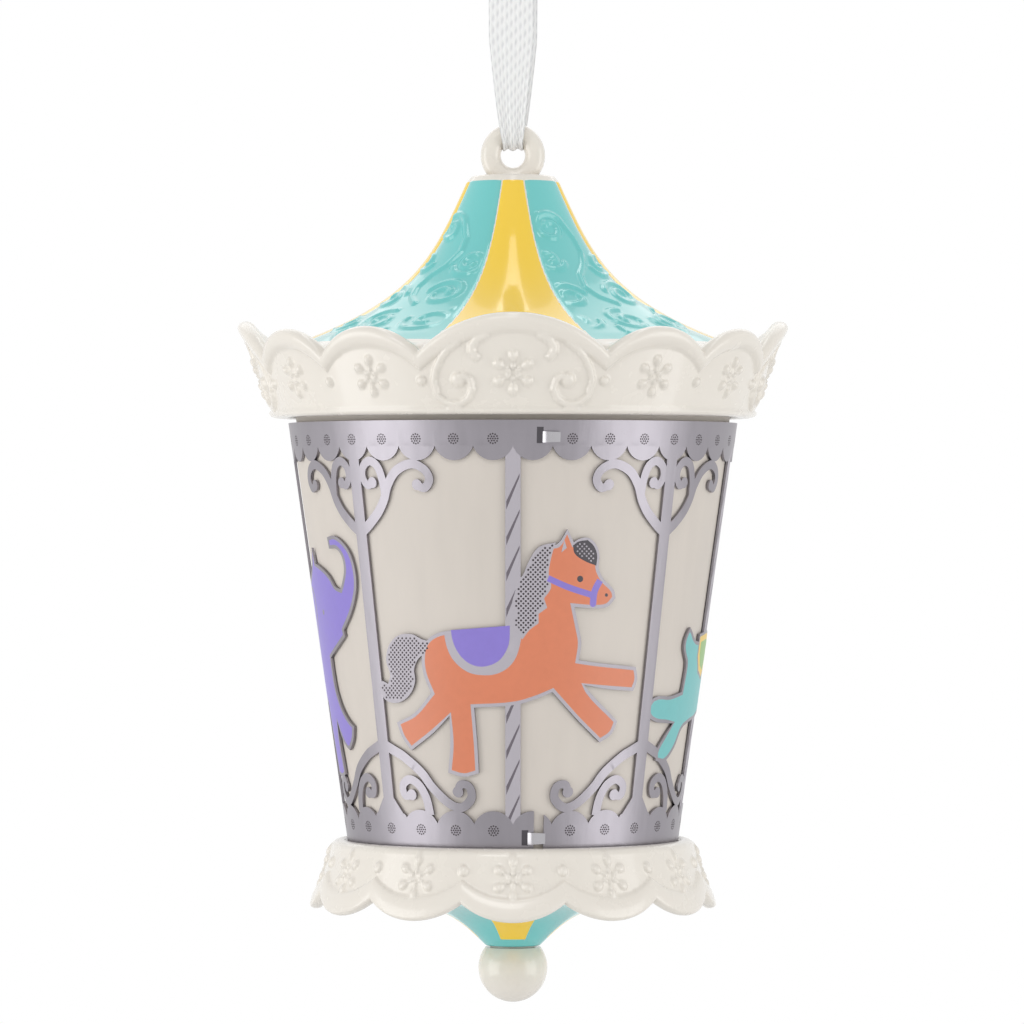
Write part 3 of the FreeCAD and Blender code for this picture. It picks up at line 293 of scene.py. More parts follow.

# %% [markdown]
# Satin ribbon is a close weave: long threads run along it and catch the light as one soft sheen. Every thread
# could be modelled, but at this size two crossed waves in the strip's own coordinates stand in for them: a small
# bump, and a pale tint along the waves that is painted sheen.

# %% Satin ribbon finish
WEAVE_DEPTH = 0.00012
SATIN = bpy.data.materials.new("satin_ribbon")
SATIN.use_nodes = True
satin_tree = SATIN.node_tree
satin_place = add_node(satin_tree, "ShaderNodeTexCoord")
warp = add_node(satin_tree, "ShaderNodeTexWave", {"bands_direction": "X", "Scale": 0.52, "Distortion": 0.5},
                {"Vector": satin_place.outputs["UV"]})
weft = add_node(satin_tree, "ShaderNodeTexWave",
                {"bands_direction": "DIAGONAL", "Scale": 0.4, "Distortion": 0.8},
                {"Vector": satin_place.outputs["UV"]})
weave = add_node(satin_tree, "ShaderNodeMath", {"operation": "MULTIPLY_ADD", 1: 0.8},
                 {0: weft.outputs[1], 2: warp.outputs[1]})
# painted sheen: the waves lighten the ribbon's white where its threads would catch the light
satin_painted_sheen = add_node(satin_tree, "ShaderNodeMix", {"data_type": "RGBA"}, {0: weave.outputs[0]})
satin_painted_sheen.inputs[6].default_value = seen(228, 228, 230)
satin_painted_sheen.inputs[7].default_value = seen(252, 252, 252)
satin_bump = add_node(satin_tree, "ShaderNodeBump", {"Strength": 0.7, "Distance": WEAVE_DEPTH},
                      {"Height": weave.outputs[0]})
satin = satin_tree.nodes["Principled BSDF"]
satin_tree.links.new(satin_painted_sheen.outputs[2], satin.inputs["Base Color"])
satin_tree.links.new(satin_bump.outputs["Normal"], satin.inputs["Normal"])
satin.inputs["Roughness"].default_value = 0.36
satin.inputs["Sheen Weight"].default_value = 0.3
print("ribbon finish:", SATIN.name)

# %% [markdown]
# Every piece below is worked out as points and faces, because its shape is known exactly. This helper turns
# the lists into a smooth-shaded object with outward normals, gives each face its finish, and puts the object
# on the body that carries it.

# %% Mesh helper
def make_object(name, points, faces, materials, slots=None, body="canopy"):
    mesh = bpy.data.meshes.new(name)
    mesh.from_pydata([tuple(p) for p in np.asarray(points) * MM], [], faces)
    for material in materials:
        mesh.materials.append(material)
    if slots is not None:
        mesh.polygons.foreach_set("material_index", np.asarray(slots, dtype=np.int32))
    shape = bmesh.new()
    shape.from_mesh(mesh)
    bmesh.ops.recalc_face_normals(shape, faces=shape.faces)
    shape.to_mesh(mesh)
    shape.free()
    mesh.polygons.foreach_set("use_smooth", np.ones(len(mesh.polygons), dtype=bool))
    piece = bpy.data.objects.new(name, mesh)
    bpy.context.scene.collection.objects.link(piece)
    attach(piece, body)
    return piece


print("pieces are made in millimetres and scaled by", MM)

# %% [markdown]
# The ribbon goes from its knot down the front, through the eye and up the back. It could be a cloth
# simulation, but a ribbon that hangs taut is just a line, so its route is a NURBS curve through a few given
# points.

# %% Ribbon route
RIBBON_ROUTE = [
    (-0.2, -0.3, 1.3), (-0.2, -2.3, -2.6), (-0.2, -2.35, -9.0), (-0.2, -2.4, -24.5), (-0.1, -2.5, -30.2),
    (0.0, -1.6, -32.15), (0.0, 1.6, -32.15), (0.1, 2.5, -30.2), (0.2, 2.4, -24.5), (0.3, 2.35, -9.0),
    (0.3, 2.3, -2.6), (0.2, 0.3, 1.3),
]
route_curve = bpy.data.curves.new("ribbon_route", "CURVE")
route_curve.dimensions = "3D"
route_spline = route_curve.splines.new("NURBS")
route_spline.points.add(len(RIBBON_ROUTE) - 1)
for point, place in zip(route_spline.points, RIBBON_ROUTE):
    point.co = (place[0] * MM, place[1] * MM, place[2] * MM, 1.0)
route_spline.order_u = 3
route_spline.use_endpoint_u = True
route_spline.resolution_u = 12
print("ribbon route:", len(RIBBON_ROUTE), "guide points")

# %% [markdown]
# A strip needs evenly sampled points, so the curve is turned into a mesh for a moment and its vertices are
# read. Adding up the steps between them gives the length.

# %% Ribbon length
route_object = bpy.data.objects.new("ribbon_route", route_curve)
route_mesh = bpy.data.meshes.new_from_object(route_object)
route = np.array([v.co for v in route_mesh.vertices]) / MM
bpy.data.objects.remove(route_object)
bpy.data.meshes.remove(route_mesh)
steps = np.linalg.norm(np.diff(route, axis=0), axis=1)

# %% [markdown]
# The ribbon is six millimetres wide where it lies flat and gathers to less than half of that to pass through
# the eye. The width follows the height over the eye, and the facing is square to the route and to the
# sideways direction.

# %% Ribbon width
RIBBON_WIDTH = 6.0
RIBBON_GATHERED = 2.6
GATHER_START = EYE_Z + 1.5
GATHER_END = EYE_Z + 15.5
along = np.gradient(route, axis=0)
along /= np.linalg.norm(along, axis=1)[:, None]
share = np.clip((route[:, 2] - GATHER_START) / (GATHER_END - GATHER_START), 0, 1)
width = RIBBON_GATHERED + (RIBBON_WIDTH - RIBBON_GATHERED) * share ** 0.8
side = np.tile([1.0, 0.0, 0.0], (len(route), 1))
facing = np.cross(along, side)
facing /= np.linalg.norm(facing, axis=1)[:, None]
run = np.concatenate([[0.0], np.cumsum(steps)])
print("ribbon width from", round(float(width.min()), 2), "to", round(float(width.max()), 2), "mm")

# %% [markdown]
# The loop and the two cut ends are the same cloth. Both are grids of quads with the weave's coordinates on
# them, and a Solidify modifier gives them the thickness of satin without doubling the points here.

# %% Woven strip helper
RIBBON_THICK = 0.22
ACROSS = 15


def strip_faces(row_count, first=0):
    """Quads of a strip that starts at point number first."""
    return [(a, a + 1, a + 1 + ACROSS, a + ACROSS)
            for i in range(row_count - 1) for a in range(first + i * ACROSS, first + i * ACROSS + ACROSS - 1)]


def weave_on(piece, coordinates):
    layer = piece.data.uv_layers.new(name="weave")
    for corner in piece.data.loops:
        layer.data[corner.index].uv = coordinates[corner.vertex_index]
    solid = piece.modifiers.new("thickness", "SOLIDIFY")
    solid.thickness = RIBBON_THICK * MM
    solid.offset = 0.0


print("a strip has", ACROSS, "points across and is", RIBBON_THICK, "mm thick")

# %% [markdown]
# Where the ribbon is gathered it can't stay flat, so it folds into soft pleats that fade out as it widens. A
# slow ripple along the length keeps it from looking like stamped metal.

# %% Ribbon strip
PLEAT = 0.15
RIPPLE = 0.05
strip, strip_uv = [], []
for i in range(len(route)):
    for k in range(ACROSS):
        u = k / (ACROSS - 1) - 0.5
        pleat = PLEAT * (1.0 - share[i]) * math.cos(u * 4.0 * math.pi)
        ripple = RIPPLE * math.sin(run[i] * 0.45 + u * 2.0)
        strip.append(route[i] + side[i] * (u * width[i]) + facing[i] * (pleat + ripple))
        strip_uv.append((u * RIBBON_WIDTH, run[i]))
ribbon = make_object("ribbon", strip, strip_faces(len(route)), [SATIN], body="hanger")
weave_on(ribbon, strip_uv)
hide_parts("ribbon_loop")
print("ribbon:", len(ribbon.data.polygons), "faces")

# %% [markdown]
# The knot that closes the loop is two strands pulled round each other. Tying a real one in mesh is slow and
# it is only a few millimetres wide, so it is a rounded lump with slanting grooves where the strands meet.

# %% Ribbon knot
KNOT_Z = 3.2
KNOT_SIZE = (2.6, 1.75, 1.85)
KNOT_ROWS, KNOT_COLUMNS = 24, 40
GROOVE = 0.12
knot_points, knot_faces = [], []
for i in range(KNOT_ROWS + 1):
    polar = math.pi * i / KNOT_ROWS
    for k in range(KNOT_COLUMNS):
        turn = 2.0 * math.pi * k / KNOT_COLUMNS
        swell = 1.0 - GROOVE * abs(math.sin(1.5 * polar * 2.0 + turn))
        knot_points.append((KNOT_SIZE[0] * math.cos(polar) * swell,
                            KNOT_SIZE[1] * math.sin(polar) * math.cos(turn) * swell,
                            KNOT_Z + KNOT_SIZE[2] * math.sin(polar) * math.sin(turn) * swell))
for i in range(KNOT_ROWS):
    for k in range(KNOT_COLUMNS):
        n = (k + 1) % KNOT_COLUMNS
        knot_faces.append((i * KNOT_COLUMNS + k, i * KNOT_COLUMNS + n, (i + 1) * KNOT_COLUMNS + n,
                           (i + 1) * KNOT_COLUMNS + k))
knot = make_object("knot", knot_points, knot_faces, [SATIN], body="hanger")
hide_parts("ribbon_knot")
print("knot:", len(knot_faces), "faces")

# %% [markdown]
# The cut ends stand up out of the knot and open out. Each was snipped at a slant, so its top edge leans. They
# are two more woven strips, narrow and folded at the root and flat at the tip.

# %% Ribbon ends
TAIL_TOP = 11.6
TAIL_ROWS = 14
TAIL_ROOT_WIDTH, TAIL_OPENS = 2.2, 3.4
SNIP_SLANT = 0.9
tail_points, tail_faces, tail_uv = [], [], []
for lean in (-1, 1):
    tail_faces += strip_faces(TAIL_ROWS, len(tail_points))
    for i in range(TAIL_ROWS):
        rise = i / (TAIL_ROWS - 1)
        for k in range(ACROSS):
            u = k / (ACROSS - 1) - 0.5
            fold = 0.25 * math.cos(9.0 * u) * (1.0 - rise) + 0.12 * math.sin(5.0 * rise + 3.0 * u)
            tail_points.append((u * (TAIL_ROOT_WIDTH + TAIL_OPENS * min(1.0, 2.0 * rise)),
                                lean * (0.25 + 1.6 * rise) + fold,
                                KNOT_Z + (TAIL_TOP - KNOT_Z - 0.7) * rise + lean * SNIP_SLANT * u * rise))
            tail_uv.append((u * RIBBON_WIDTH, 9.0 * rise))
tails = make_object("ribbon_ends", tail_points, tail_faces, [SATIN], body="hanger")
weave_on(tails, tail_uv)
print("ribbon ends:", len(tail_faces), "faces")

# %% [markdown]
# The ribbon is limp on the real thing, and whoever uses the part may want to lay it another way.

# %% [markdown]
# The porcelain is slip-cast, so its relief is part of the wall and every edge is soft. Sculpting it would be
# free but uneven; here the relief is a height in millimetres, worked out for one repeat of the pattern and
# tiled, so that every flower is the same. A raised line is a round-topped section along the distance from the
# line's middle.

# %% Raised lines
def ridge(distance, half):
    """Round-topped section, 1 on its middle line and 0 from half away."""
    return np.sqrt(np.clip(1.0 - (distance / half) ** 2, 0.0, 1.0))


def line_distance(u, v, points):
    nearest = np.full(np.shape(u), 1e6)
    for (u0, v0), (u1, v1) in zip(points, points[1:]):
        length2 = (u1 - u0) ** 2 + (v1 - v0) ** 2 + 1e-9
        t = np.clip(((u - u0) * (u1 - u0) + (v - v0) * (v1 - v0)) / length2, 0, 1)
        nearest = np.minimum(nearest, np.hypot(u - u0 - t * (u1 - u0), v - v0 - t * (v1 - v0)))
    return nearest


print("a line 1 mm wide is", round(float(ridge(0.25, 0.5)), 2), "of its height half way out")

# %% [markdown]
# Scrolls are the ornament's main theme: on the roof, on the valance and in the sheet. Each is a line of
# points on a spiral whose radius shrinks evenly as it turns.

# %% Scrolls
def spiral(u, v, start_r, end_r, turns, start, hand):
    points = []
    for i in range(int(18 * turns) + 1):
        s = i / (18 * turns)
        angle = math.radians(start) + hand * 2.0 * math.pi * turns * s
        radius = start_r + (end_r - start_r) * s
        points.append((u + radius * math.cos(angle), v + radius * math.sin(angle)))
    return points


print("a scroll of one turn has", len(spiral(0, 0, 2.0, 0.5, 1.0, 0.0, 1)), "points")

# %% [markdown]
# The little flower on every scallop has six drop-shaped petals on thin stems round a ring of seeds. One petal
# is described along its own axis and turned six times. Heights are joined by taking the higher one, as in
# clay, and not by adding.

# %% Snow-flower
def flower(u, v, u0, v0, size):
    """Snow-flower: six drops on thin stems round a ring of six small seeds."""
    height = np.zeros(np.shape(u))
    for k in range(6):
        turn = math.radians(60.0 * k + 90.0)
        out = (u - u0) * math.cos(turn) + (v - v0) * math.sin(turn)
        cross = -(u - u0) * math.sin(turn) + (v - v0) * math.cos(turn)
        half = 0.125 * size * np.clip(0.8 + 1.2 * (out / size - 0.36), 0.4, 1.0)
        drop = np.clip(1.0 - (cross / half) ** 2 - ((out - 0.38 * size) / (0.13 * size)) ** 2, 0, 1)
        seed = ridge(np.hypot(out - 0.13 * size, cross), 0.06 * size)
        stem = ridge(cross, 0.035 * size) * (out > 0.1 * size) * (out < 0.36 * size)
        height = np.maximum(height, np.maximum(np.sqrt(drop), np.maximum(0.7 * seed, 0.5 * stem)))
    return height


print("flower at its middle petal:", round(float(flower(0.0, 0.38 * 5.6, 0.0, 0.0, 5.6)), 2))

# %% [markdown]
# A scallop's edge is part of a circle, found from its half width and its sag. The roof and the cone share one
# hollow profile that starts steep and flattens out towards the eaves, like a tent.

# %% Scallop and hollow roof
def arch(distance, half, peak, notch):
    """Height of a round scallop's edge across its width."""
    sag = abs(peak - notch)
    radius = (half ** 2 + sag ** 2) / (2.0 * sag)
    drop = radius - np.sqrt(np.clip(radius ** 2 - distance ** 2, 0, None))
    return peak - np.sign(peak - notch) * np.minimum(drop, sag)


def hollow(s):
    """Share of the way out at a share of the way down a concave roof."""
    return 0.42 * s + 0.58 * s ** 4


print("half way down, the roof has come", round(hollow(0.5), 3), "of the way out")

# %% [markdown]
# Each casting is a closed grid: rows follow the profile from the inside to the outside, and columns go round
# the axis. A Screw or a Spin modifier makes only plain bodies of rotation, while here each row may also
# wander in and out, which is what carries the relief.

# %% Casting helper
ROUND = 1080


def spin_grid(name, rows, row_slots, materials, body, closed=False):
    """Closed casting from rows of (radius, height) arrays round the axis."""
    turn = np.radians(np.arange(ROUND) * 360.0 / ROUND - 45.0)
    points = []
    for radius, height in rows:
        radius = np.broadcast_to(radius, ROUND)
        height = np.broadcast_to(height, ROUND)
        points.append(np.stack([radius * np.sin(turn), -radius * np.cos(turn), height], axis=1))
    count = len(rows)
    index = np.arange(ROUND)
    after = np.roll(index, -1)
    faces, slots = [], []
    for i in range(count if closed else count - 1):
        here, there = i * ROUND, (i + 1) % count * ROUND
        faces.append(np.stack([here + index, here + after, there + after, there + index], axis=1))
        slots.append(np.broadcast_to(row_slots[i], ROUND))
    return make_object(name, np.concatenate(points), np.concatenate(faces).tolist(), materials,
                       np.concatenate(slots), body)


print("round of", ROUND, "columns")

# %% [markdown]
# The valance stands out round the eaves like a paper frill: four wide scallops and eight narrow ones, a
# little lower. Only a quarter of the edge is worked out, because the rest repeats it.

# %% Valance edge
VALANCE_R = canopy_high[0]
VALANCE_H = 12.9
PEAK_Z = RIM_Z + VALANCE_H
WIDE_HALF = 20.5
NARROW_HALF = 12.25
NARROW_STEP = 1.6
NOTCH_STEP = 4.8
QUARTER = ROUND // 4

quarter_turn = np.arange(QUARTER) * 360.0 / ROUND - 45.0


def chord(half):
    return VALANCE_R * math.sin(math.radians(half))


from_wide = np.abs(VALANCE_R * np.sin(np.radians(quarter_turn)))
wide_edge = arch(from_wide, chord(WIDE_HALF), PEAK_Z, PEAK_Z - NOTCH_STEP)
narrow_turn = np.abs(np.abs(quarter_turn) - WIDE_HALF - NARROW_HALF)
narrow_edge = arch(VALANCE_R * np.sin(np.radians(narrow_turn)), chord(NARROW_HALF), PEAK_Z - NARROW_STEP,
                   PEAK_Z - NOTCH_STEP)
edge_quarter = np.where(np.abs(quarter_turn) <= WIDE_HALF, wide_edge, narrow_edge)
edge_z = np.tile(edge_quarter, 4)
print("scallop edge from", round(float(edge_z.min()), 2), "to", round(float(edge_z.max()), 2))

# %% [markdown]
# A thick bead follows the scalloped edge. Below it sit a flower in each scallop, and beside each wide one a
# pair of scrolls with a ball in the curl and a crescent above. The lines are drawn once for the right side
# and mirrored.

# %% Valance ornament
BEAD = 2.5
RELIEF = 0.75
VALANCE_MEAN_R = 34.5
VALANCE_FLOWERS = ((0.0, 5.6, 5.2), (-32.75, 5.2, 4.9), (32.75, 5.2, 4.9))
SCROLL_LINE = [(7.0, 9.0), (8.3, 8.2), (9.4, 7.0), (10.2, 5.6), (10.6, 4.2), (10.2, 2.3), (9.3, 1.5),
               (8.2, 1.2), (7.0, 1.4), (6.0, 2.0), (5.4, 3.2), (5.7, 4.4), (6.6, 4.9)]
SCROLL_BALL = (7.3, 4.3)
CRESCENT_LINE = [(3.4, 9.9), (4.5, 9.4), (5.2, 8.6), (5.2, 7.8), (4.7, 7.2)]
BEAN_Z = 4.2
arc_mm = np.radians(quarter_turn) * VALANCE_MEAN_R
print("a quarter of the valance is", round(float(arc_mm[-1] - arc_mm[0]), 1), "mm round")

# %% [markdown]
# This function gives the height of the relief along one row of the valance. The pieces of ornament are laid
# over each other by taking the highest, so that a scroll runs softly into the bead.

# %% Valance relief
def valance_relief(z):
    """Relief on one quarter of the valance at heights z above the rim."""
    u, v = arc_mm, z - RIM_Z
    height = ridge(edge_quarter - z - 0.5 * BEAD, 0.55 * BEAD)
    for turn, size, rise in VALANCE_FLOWERS:
        height = np.maximum(height, 0.8 * flower(u, v, math.radians(turn) * VALANCE_MEAN_R, rise, size))
    for side_sign in (-1, 1):
        for line, half in ((SCROLL_LINE, 0.42), (CRESCENT_LINE, 0.5)):
            mirrored = [(side_sign * across, up) for across, up in line]
            height = np.maximum(height, 0.7 * ridge(line_distance(u, v, mirrored), half))
        ball = np.hypot(u - side_sign * SCROLL_BALL[0], v - SCROLL_BALL[1])
        height = np.maximum(height, 0.9 * ridge(ball, 0.95))
        for turn in (WIDE_HALF, 45.0):
            spot = np.hypot(u - side_sign * math.radians(turn) * VALANCE_MEAN_R, v - BEAN_Z)
            height = np.maximum(height, 0.8 * ridge(spot, 0.62))
    return RELIEF * height


middle_row = valance_relief(np.full(QUARTER, RIM_Z + 5.0))
print("relief up to", round(float(middle_row.max()), 2), "mm along the middle")

# %% [markdown]
# The roof is a hollow cone between a small flat top and the eaves. Its length down the slope is measured
# once, so that ornament can be placed in millimetres along the slope instead of in shares of the height.

# %% Roof profile
ROOF_Z = EYE_Z - 2.9
ROOF_TOP_R = 5.6
ROOF_H = 22.9
EAVE_R = 30.4
EAVE_Z = ROOF_Z - ROOF_H
PROFILE_STEPS = 400


def roof_point(s):
    return ROOF_TOP_R + (EAVE_R - ROOF_TOP_R) * hollow(s), ROOF_Z - ROOF_H * s


profile = np.array([roof_point(i / PROFILE_STEPS) for i in range(PROFILE_STEPS + 1)])
roof_run = np.concatenate([[0.0], np.cumsum(np.hypot(np.diff(profile[:, 0]), np.diff(profile[:, 1])))])
ROOF_LENGTH = float(roof_run[-1])
print("roof:", round(ROOF_LENGTH, 2), "mm down the slope")

# %% [markdown]
# Four yellow stripes and four teal panels meet at thin bare lines. A stripe is an angle that changes evenly
# from the top to the eaves. The stripes at the sides are narrower at the eaves than those at front and back.
# Each face of the grid takes its finish by its angle, which gives cleaner edges than a painted picture would.

# %% Roof stripes
WHITE, TEAL, YELLOW = 0, 1, 2
FRONT_STRIPE = (13.6, 21.0)
SIDE_STRIPE = (18.0, 13.5)
LINE_WIDTH = 0.17


def stripe_half(s, stripe):
    """Half the angle of a stripe, given at the top and at the eaves."""
    return stripe[0] + (stripe[1] - stripe[0]) * s


def roof_slots(s, stripe):
    edge = stripe_half(s, stripe)
    slots = np.where(np.abs(quarter_turn) < edge, YELLOW, TEAL)
    line_deg = math.degrees(0.5 * LINE_WIDTH / roof_point(s)[0])
    slots[np.abs(np.abs(quarter_turn) - edge) < line_deg] = WHITE
    return slots


def all_round(quarter_row, s):
    """Front and back quarters with full stripes, side quarters with narrow ones."""
    pair = np.concatenate([quarter_row(s, FRONT_STRIPE), quarter_row(s, SIDE_STRIPE)])
    return np.tile(pair, 2)


print("yellow at the eaves:", round(float(np.mean(all_round(roof_slots, 0.9) == YELLOW)), 2), "of the round")

# %% [markdown]
# Each teal panel carries a raised vine: a wavy stem with scrolls to both sides, smaller towards the top. The
# lines are in millimetres, across from the panel's middle and up from the eaves. Their section is a wave and
# not a half round, because under a thick glaze the edges melt away.

# %% Roof vine
VINE_LINE = 0.72
VINE_HEIGHT = 0.34
VINE = [
    spiral(-2.2, 27.2, 2.5, 0.7, 1.35, 10.0, 1),
    [(0.2, 27.8), (1.3, 25.6), (1.5, 23.4), (0.4, 21.2), (-1.4, 19.2), (-2.2, 16.8), (-1.4, 14.6), (0.6, 13.0)],
    spiral(3.9, 21.4, 2.3, 0.6, 1.4, 200.0, 1),
    spiral(-4.4, 22.0, 1.9, 0.5, 1.2, 340.0, -1),
    spiral(3.6, 15.2, 2.9, 0.8, 1.4, 160.0, -1),
    spiral(-6.0, 14.6, 2.9, 0.8, 1.4, 20.0, 1),
    [(6.6, 17.6), (8.4, 15.8), (8.8, 13.4), (7.8, 11.6)],
    spiral(6.6, 8.0, 3.5, 0.9, 1.35, 170.0, 1),
    spiral(-9.6, 8.2, 3.1, 0.8, 1.3, 350.0, -1),
    spiral(-1.6, 8.0, 3.2, 0.8, 1.35, 80.0, 1),
    [(-5.4, 5.6), (-5.8, 3.4), (-4.4, 1.8)],
    [(2.4, 5.0), (2.6, 3.0), (3.8, 1.6)],
]


def soft(distance, half):
    """Wave-shaped section for relief that melts into the surface."""
    return 0.5 + 0.5 * np.cos(np.pi * np.clip(distance / half, 0.0, 1.0))


print("vine:", len(VINE), "lines")

# %% [markdown]
# Stripes and panels are a little pillowed, as if cloth were stretched between ribs, and the vine is added on
# the teal. It fades out beside the stripes so that no line is cut off there.

# %% Roof relief
GOLD_SWELL, TEAL_SWELL = 0.25, 0.3
VINE_LOW, VINE_TOP = 0.8, 31.0
VINE_MARGIN, VINE_FADE = 2.5, 5.0
panel_turn = np.where(quarter_turn < 0, quarter_turn + 45.0, quarter_turn - 45.0)


def roof_relief(s, stripe):
    """Relief of one quarter of the roof round a stripe."""
    up = ROOF_LENGTH - np.interp(s, np.linspace(0, 1, PROFILE_STEPS + 1), roof_run)
    edge = stripe_half(s, stripe)
    off_stripe = np.abs(quarter_turn)
    gold = np.clip(off_stripe / edge, 0, 1)
    teal = np.clip((45.0 - off_stripe) / (45.0 - edge), 0, 1)
    swell = np.where(off_stripe < edge, GOLD_SWELL * (1 - gold ** 4), TEAL_SWELL * (1 - teal ** 6))
    u = np.radians(panel_turn) * roof_point(s)[0]
    height = np.zeros_like(u)
    if VINE_LOW < up < VINE_TOP:
        for points in VINE:
            height = np.maximum(height, soft(line_distance(u, np.full_like(u, up), points), VINE_LINE))
    inside = np.clip((off_stripe - edge - VINE_MARGIN) / VINE_FADE, 0, 1)
    return swell + VINE_HEIGHT * height * inside


print("roof relief up to", round(float(roof_relief(0.7, FRONT_STRIPE).max()), 2), "mm at seven tenths down")

# %% [markdown]
# The canopy is hollow: inside is a tent-shaped cavity for the works, then a ledge and the mouth in which the
# drum runs. The rows of the grid start at the middle of that ceiling and come down the inside to the rim.

# %% Canopy underside
ROOF_WALL = 2.4
CAVITY_ROWS = 14
CAVITY_R = 27.4
LEDGE_Z = RIM_Z + 2.8
OPEN_R = 29.6
VALANCE_FOOT_R = 33.0
CAVITY_INSET = 1.2

rows = [(0.0, ROOF_Z - ROOF_WALL)]
for i in range(CAVITY_ROWS):
    s = i / (CAVITY_ROWS - 1)
    rows.append((ROOF_TOP_R - CAVITY_INSET + (CAVITY_R - ROOF_TOP_R + CAVITY_INSET) * hollow(s),
                 ROOF_Z - ROOF_WALL - ROOF_H * s))
rows += [(CAVITY_R, LEDGE_Z), (OPEN_R, LEDGE_Z), (OPEN_R, RIM_Z + 0.3), (OPEN_R + 0.3, RIM_Z),
         (VALANCE_FOOT_R - 1.4, RIM_Z), (VALANCE_FOOT_R - 0.75, RIM_Z + 0.2), (VALANCE_FOOT_R - 0.5, RIM_Z + 0.6)]
print("rows inside the canopy:", len(rows))

# %% [markdown]
# The valance flares outwards from its foot. Each row follows the scalloped edge by a share of the way up, so
# the rows bunch where the edge dips and the bead stays smooth. The lip is half an ellipse, and a few rows
# behind it lead back to the eaves.

# %% Valance rows
FOOT_Z = RIM_Z + 1.0
LIP = 1.15
LIP_RISE = 0.8 * LIP
VALANCE_ROWS = 46
LIP_ROWS = 9
BACK_ROWS = 6


def valance_r(z):
    return VALANCE_FOOT_R + (VALANCE_R - VALANCE_FOOT_R) * (z - FOOT_Z) / (PEAK_Z - LIP_RISE - FOOT_Z)


for i in range(VALANCE_ROWS):
    z_quarter = FOOT_Z + (edge_quarter - LIP_RISE - FOOT_Z) * i / (VALANCE_ROWS - 1)
    radius = valance_r(z_quarter) - RELIEF + valance_relief(z_quarter)
    rows.append((np.tile(radius, 4), np.tile(z_quarter, 4)))
lip_r = rows[-1][0] - LIP
for i in range(1, LIP_ROWS):
    turn = math.pi * i / LIP_ROWS
    rows.append((lip_r + LIP * math.cos(turn), edge_z - LIP_RISE + LIP_RISE * math.sin(turn)))
for i in range(1, BACK_ROWS + 1):
    s = i / BACK_ROWS
    rows.append(((lip_r - LIP) * (1 - s) + EAVE_R * s, (edge_z - LIP_RISE) * (1 - s) + EAVE_Z * s))
row_slots = [WHITE] * len(rows)
print("rows up to the eaves:", len(rows))

# %% [markdown]
# Now the rows climb the roof from the eaves to the top. The relief is pushed out square to the slope, and it
# eases off at both ends, where a plain white line closes the colours.

# %% Roof rows
ROOF_ROWS = 150
SLOPE_STEP = 0.004
EAVE_EASE, TOP_EASE = 0.05, 0.04
TOP_LINE, EAVE_LINE = 0.035, 0.985

for i in range(1, ROOF_ROWS + 1):
    s = 1.0 - i / ROOF_ROWS
    r0, z0 = roof_point(s)
    r1, z1 = roof_point(min(1.0, s + SLOPE_STEP))
    r2, z2 = roof_point(max(0.0, s - SLOPE_STEP))
    slope = math.hypot(r1 - r2, z1 - z2)
    ease = min(1.0, (1.0 - s) / EAVE_EASE) * min(1.0, s / TOP_EASE)
    lift = all_round(roof_relief, s) * ease
    rows.append((r0 + lift * (z2 - z1) / slope, z0 + lift * (r1 - r2) / slope))
    plain = s < TOP_LINE or s > EAVE_LINE
    row_slots.append(np.full(ROUND, WHITE) if plain else all_round(roof_slots, s))
print("rows up to the top:", len(rows))

# %% [markdown]
# Four last rows round the flat top over and close the grid. The rows become one mesh, which takes the place
# of the plain CAD casting.

# %% Canopy casting
for radius, z in ((ROOF_TOP_R - 0.25, ROOF_Z + 0.12), (ROOF_TOP_R - 0.8, ROOF_Z + 0.2), (3.0, ROOF_Z + 0.3),
                  (0.0, ROOF_Z + 0.3)):
    rows.append((radius, z))
    row_slots.append(WHITE)
PORCELAIN = [WHITE_GLAZE, TEAL_GLAZE, YELLOW_GLAZE]
canopy = spin_grid("canopy_casting", rows, row_slots, PORCELAIN, "canopy")
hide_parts("canopy")
print("canopy:", len(canopy.data.polygons), "faces")

# %% [markdown]
# The eye is a thick ring cast on the roof's flat top, and the ribbon runs through it. A torus has a round
# section; the real ring is deeper than it is thick and a little squared, so its section is a rounded box,
# made by a power of the sine and the cosine.

# %% Eye
EYE_HOLE_R = 1.6
EYE_DEPTH = 3.4
EYE_SQUARE = 0.8
EYE_STEPS, EYE_SECTION = 96, 32
ring_points, ring_faces = [], []
middle_r = (EYE_R + EYE_HOLE_R) / 2.0
for i in range(EYE_STEPS):
    turn = 2.0 * math.pi * i / EYE_STEPS
    for k in range(EYE_SECTION):
        c, w = math.cos(2.0 * math.pi * k / EYE_SECTION), math.sin(2.0 * math.pi * k / EYE_SECTION)
        out = math.copysign(abs(c) ** EYE_SQUARE, c) * (EYE_R - EYE_HOLE_R) / 2.0
        deep = math.copysign(abs(w) ** EYE_SQUARE, w) * EYE_DEPTH / 2.0
        ring_points.append(((middle_r + out) * math.sin(turn), deep, EYE_Z + (middle_r + out) * math.cos(turn)))
for i in range(EYE_STEPS):
    here, there = i * EYE_SECTION, (i + 1) % EYE_STEPS * EYE_SECTION
    for k in range(EYE_SECTION):
        n = (k + 1) % EYE_SECTION
        ring_faces.append((here + k, here + n, there + n, there + k))
eye = make_object("eye_ring", ring_points, ring_faces, [WHITE_GLAZE], body="canopy")
print("eye ring:", len(ring_faces), "faces")

# %% [markdown]
# The base is a second casting. Its flared skirt has twelve round scallops that hang down. One scallop is
# worked out and repeated, and the whole round is turned so that a scallop faces the front.

# %% Skirt edge
SKIRT_R = base_high[0]
SKIRT_Z = SEAT_Z - 9.0
SKIRT_NOTCH = 2.3
SKIRT_MEAN_R = 26.0
SCALLOPS = 12
SCALLOP_HALF = 15.0
TWELFTH = ROUND // SCALLOPS

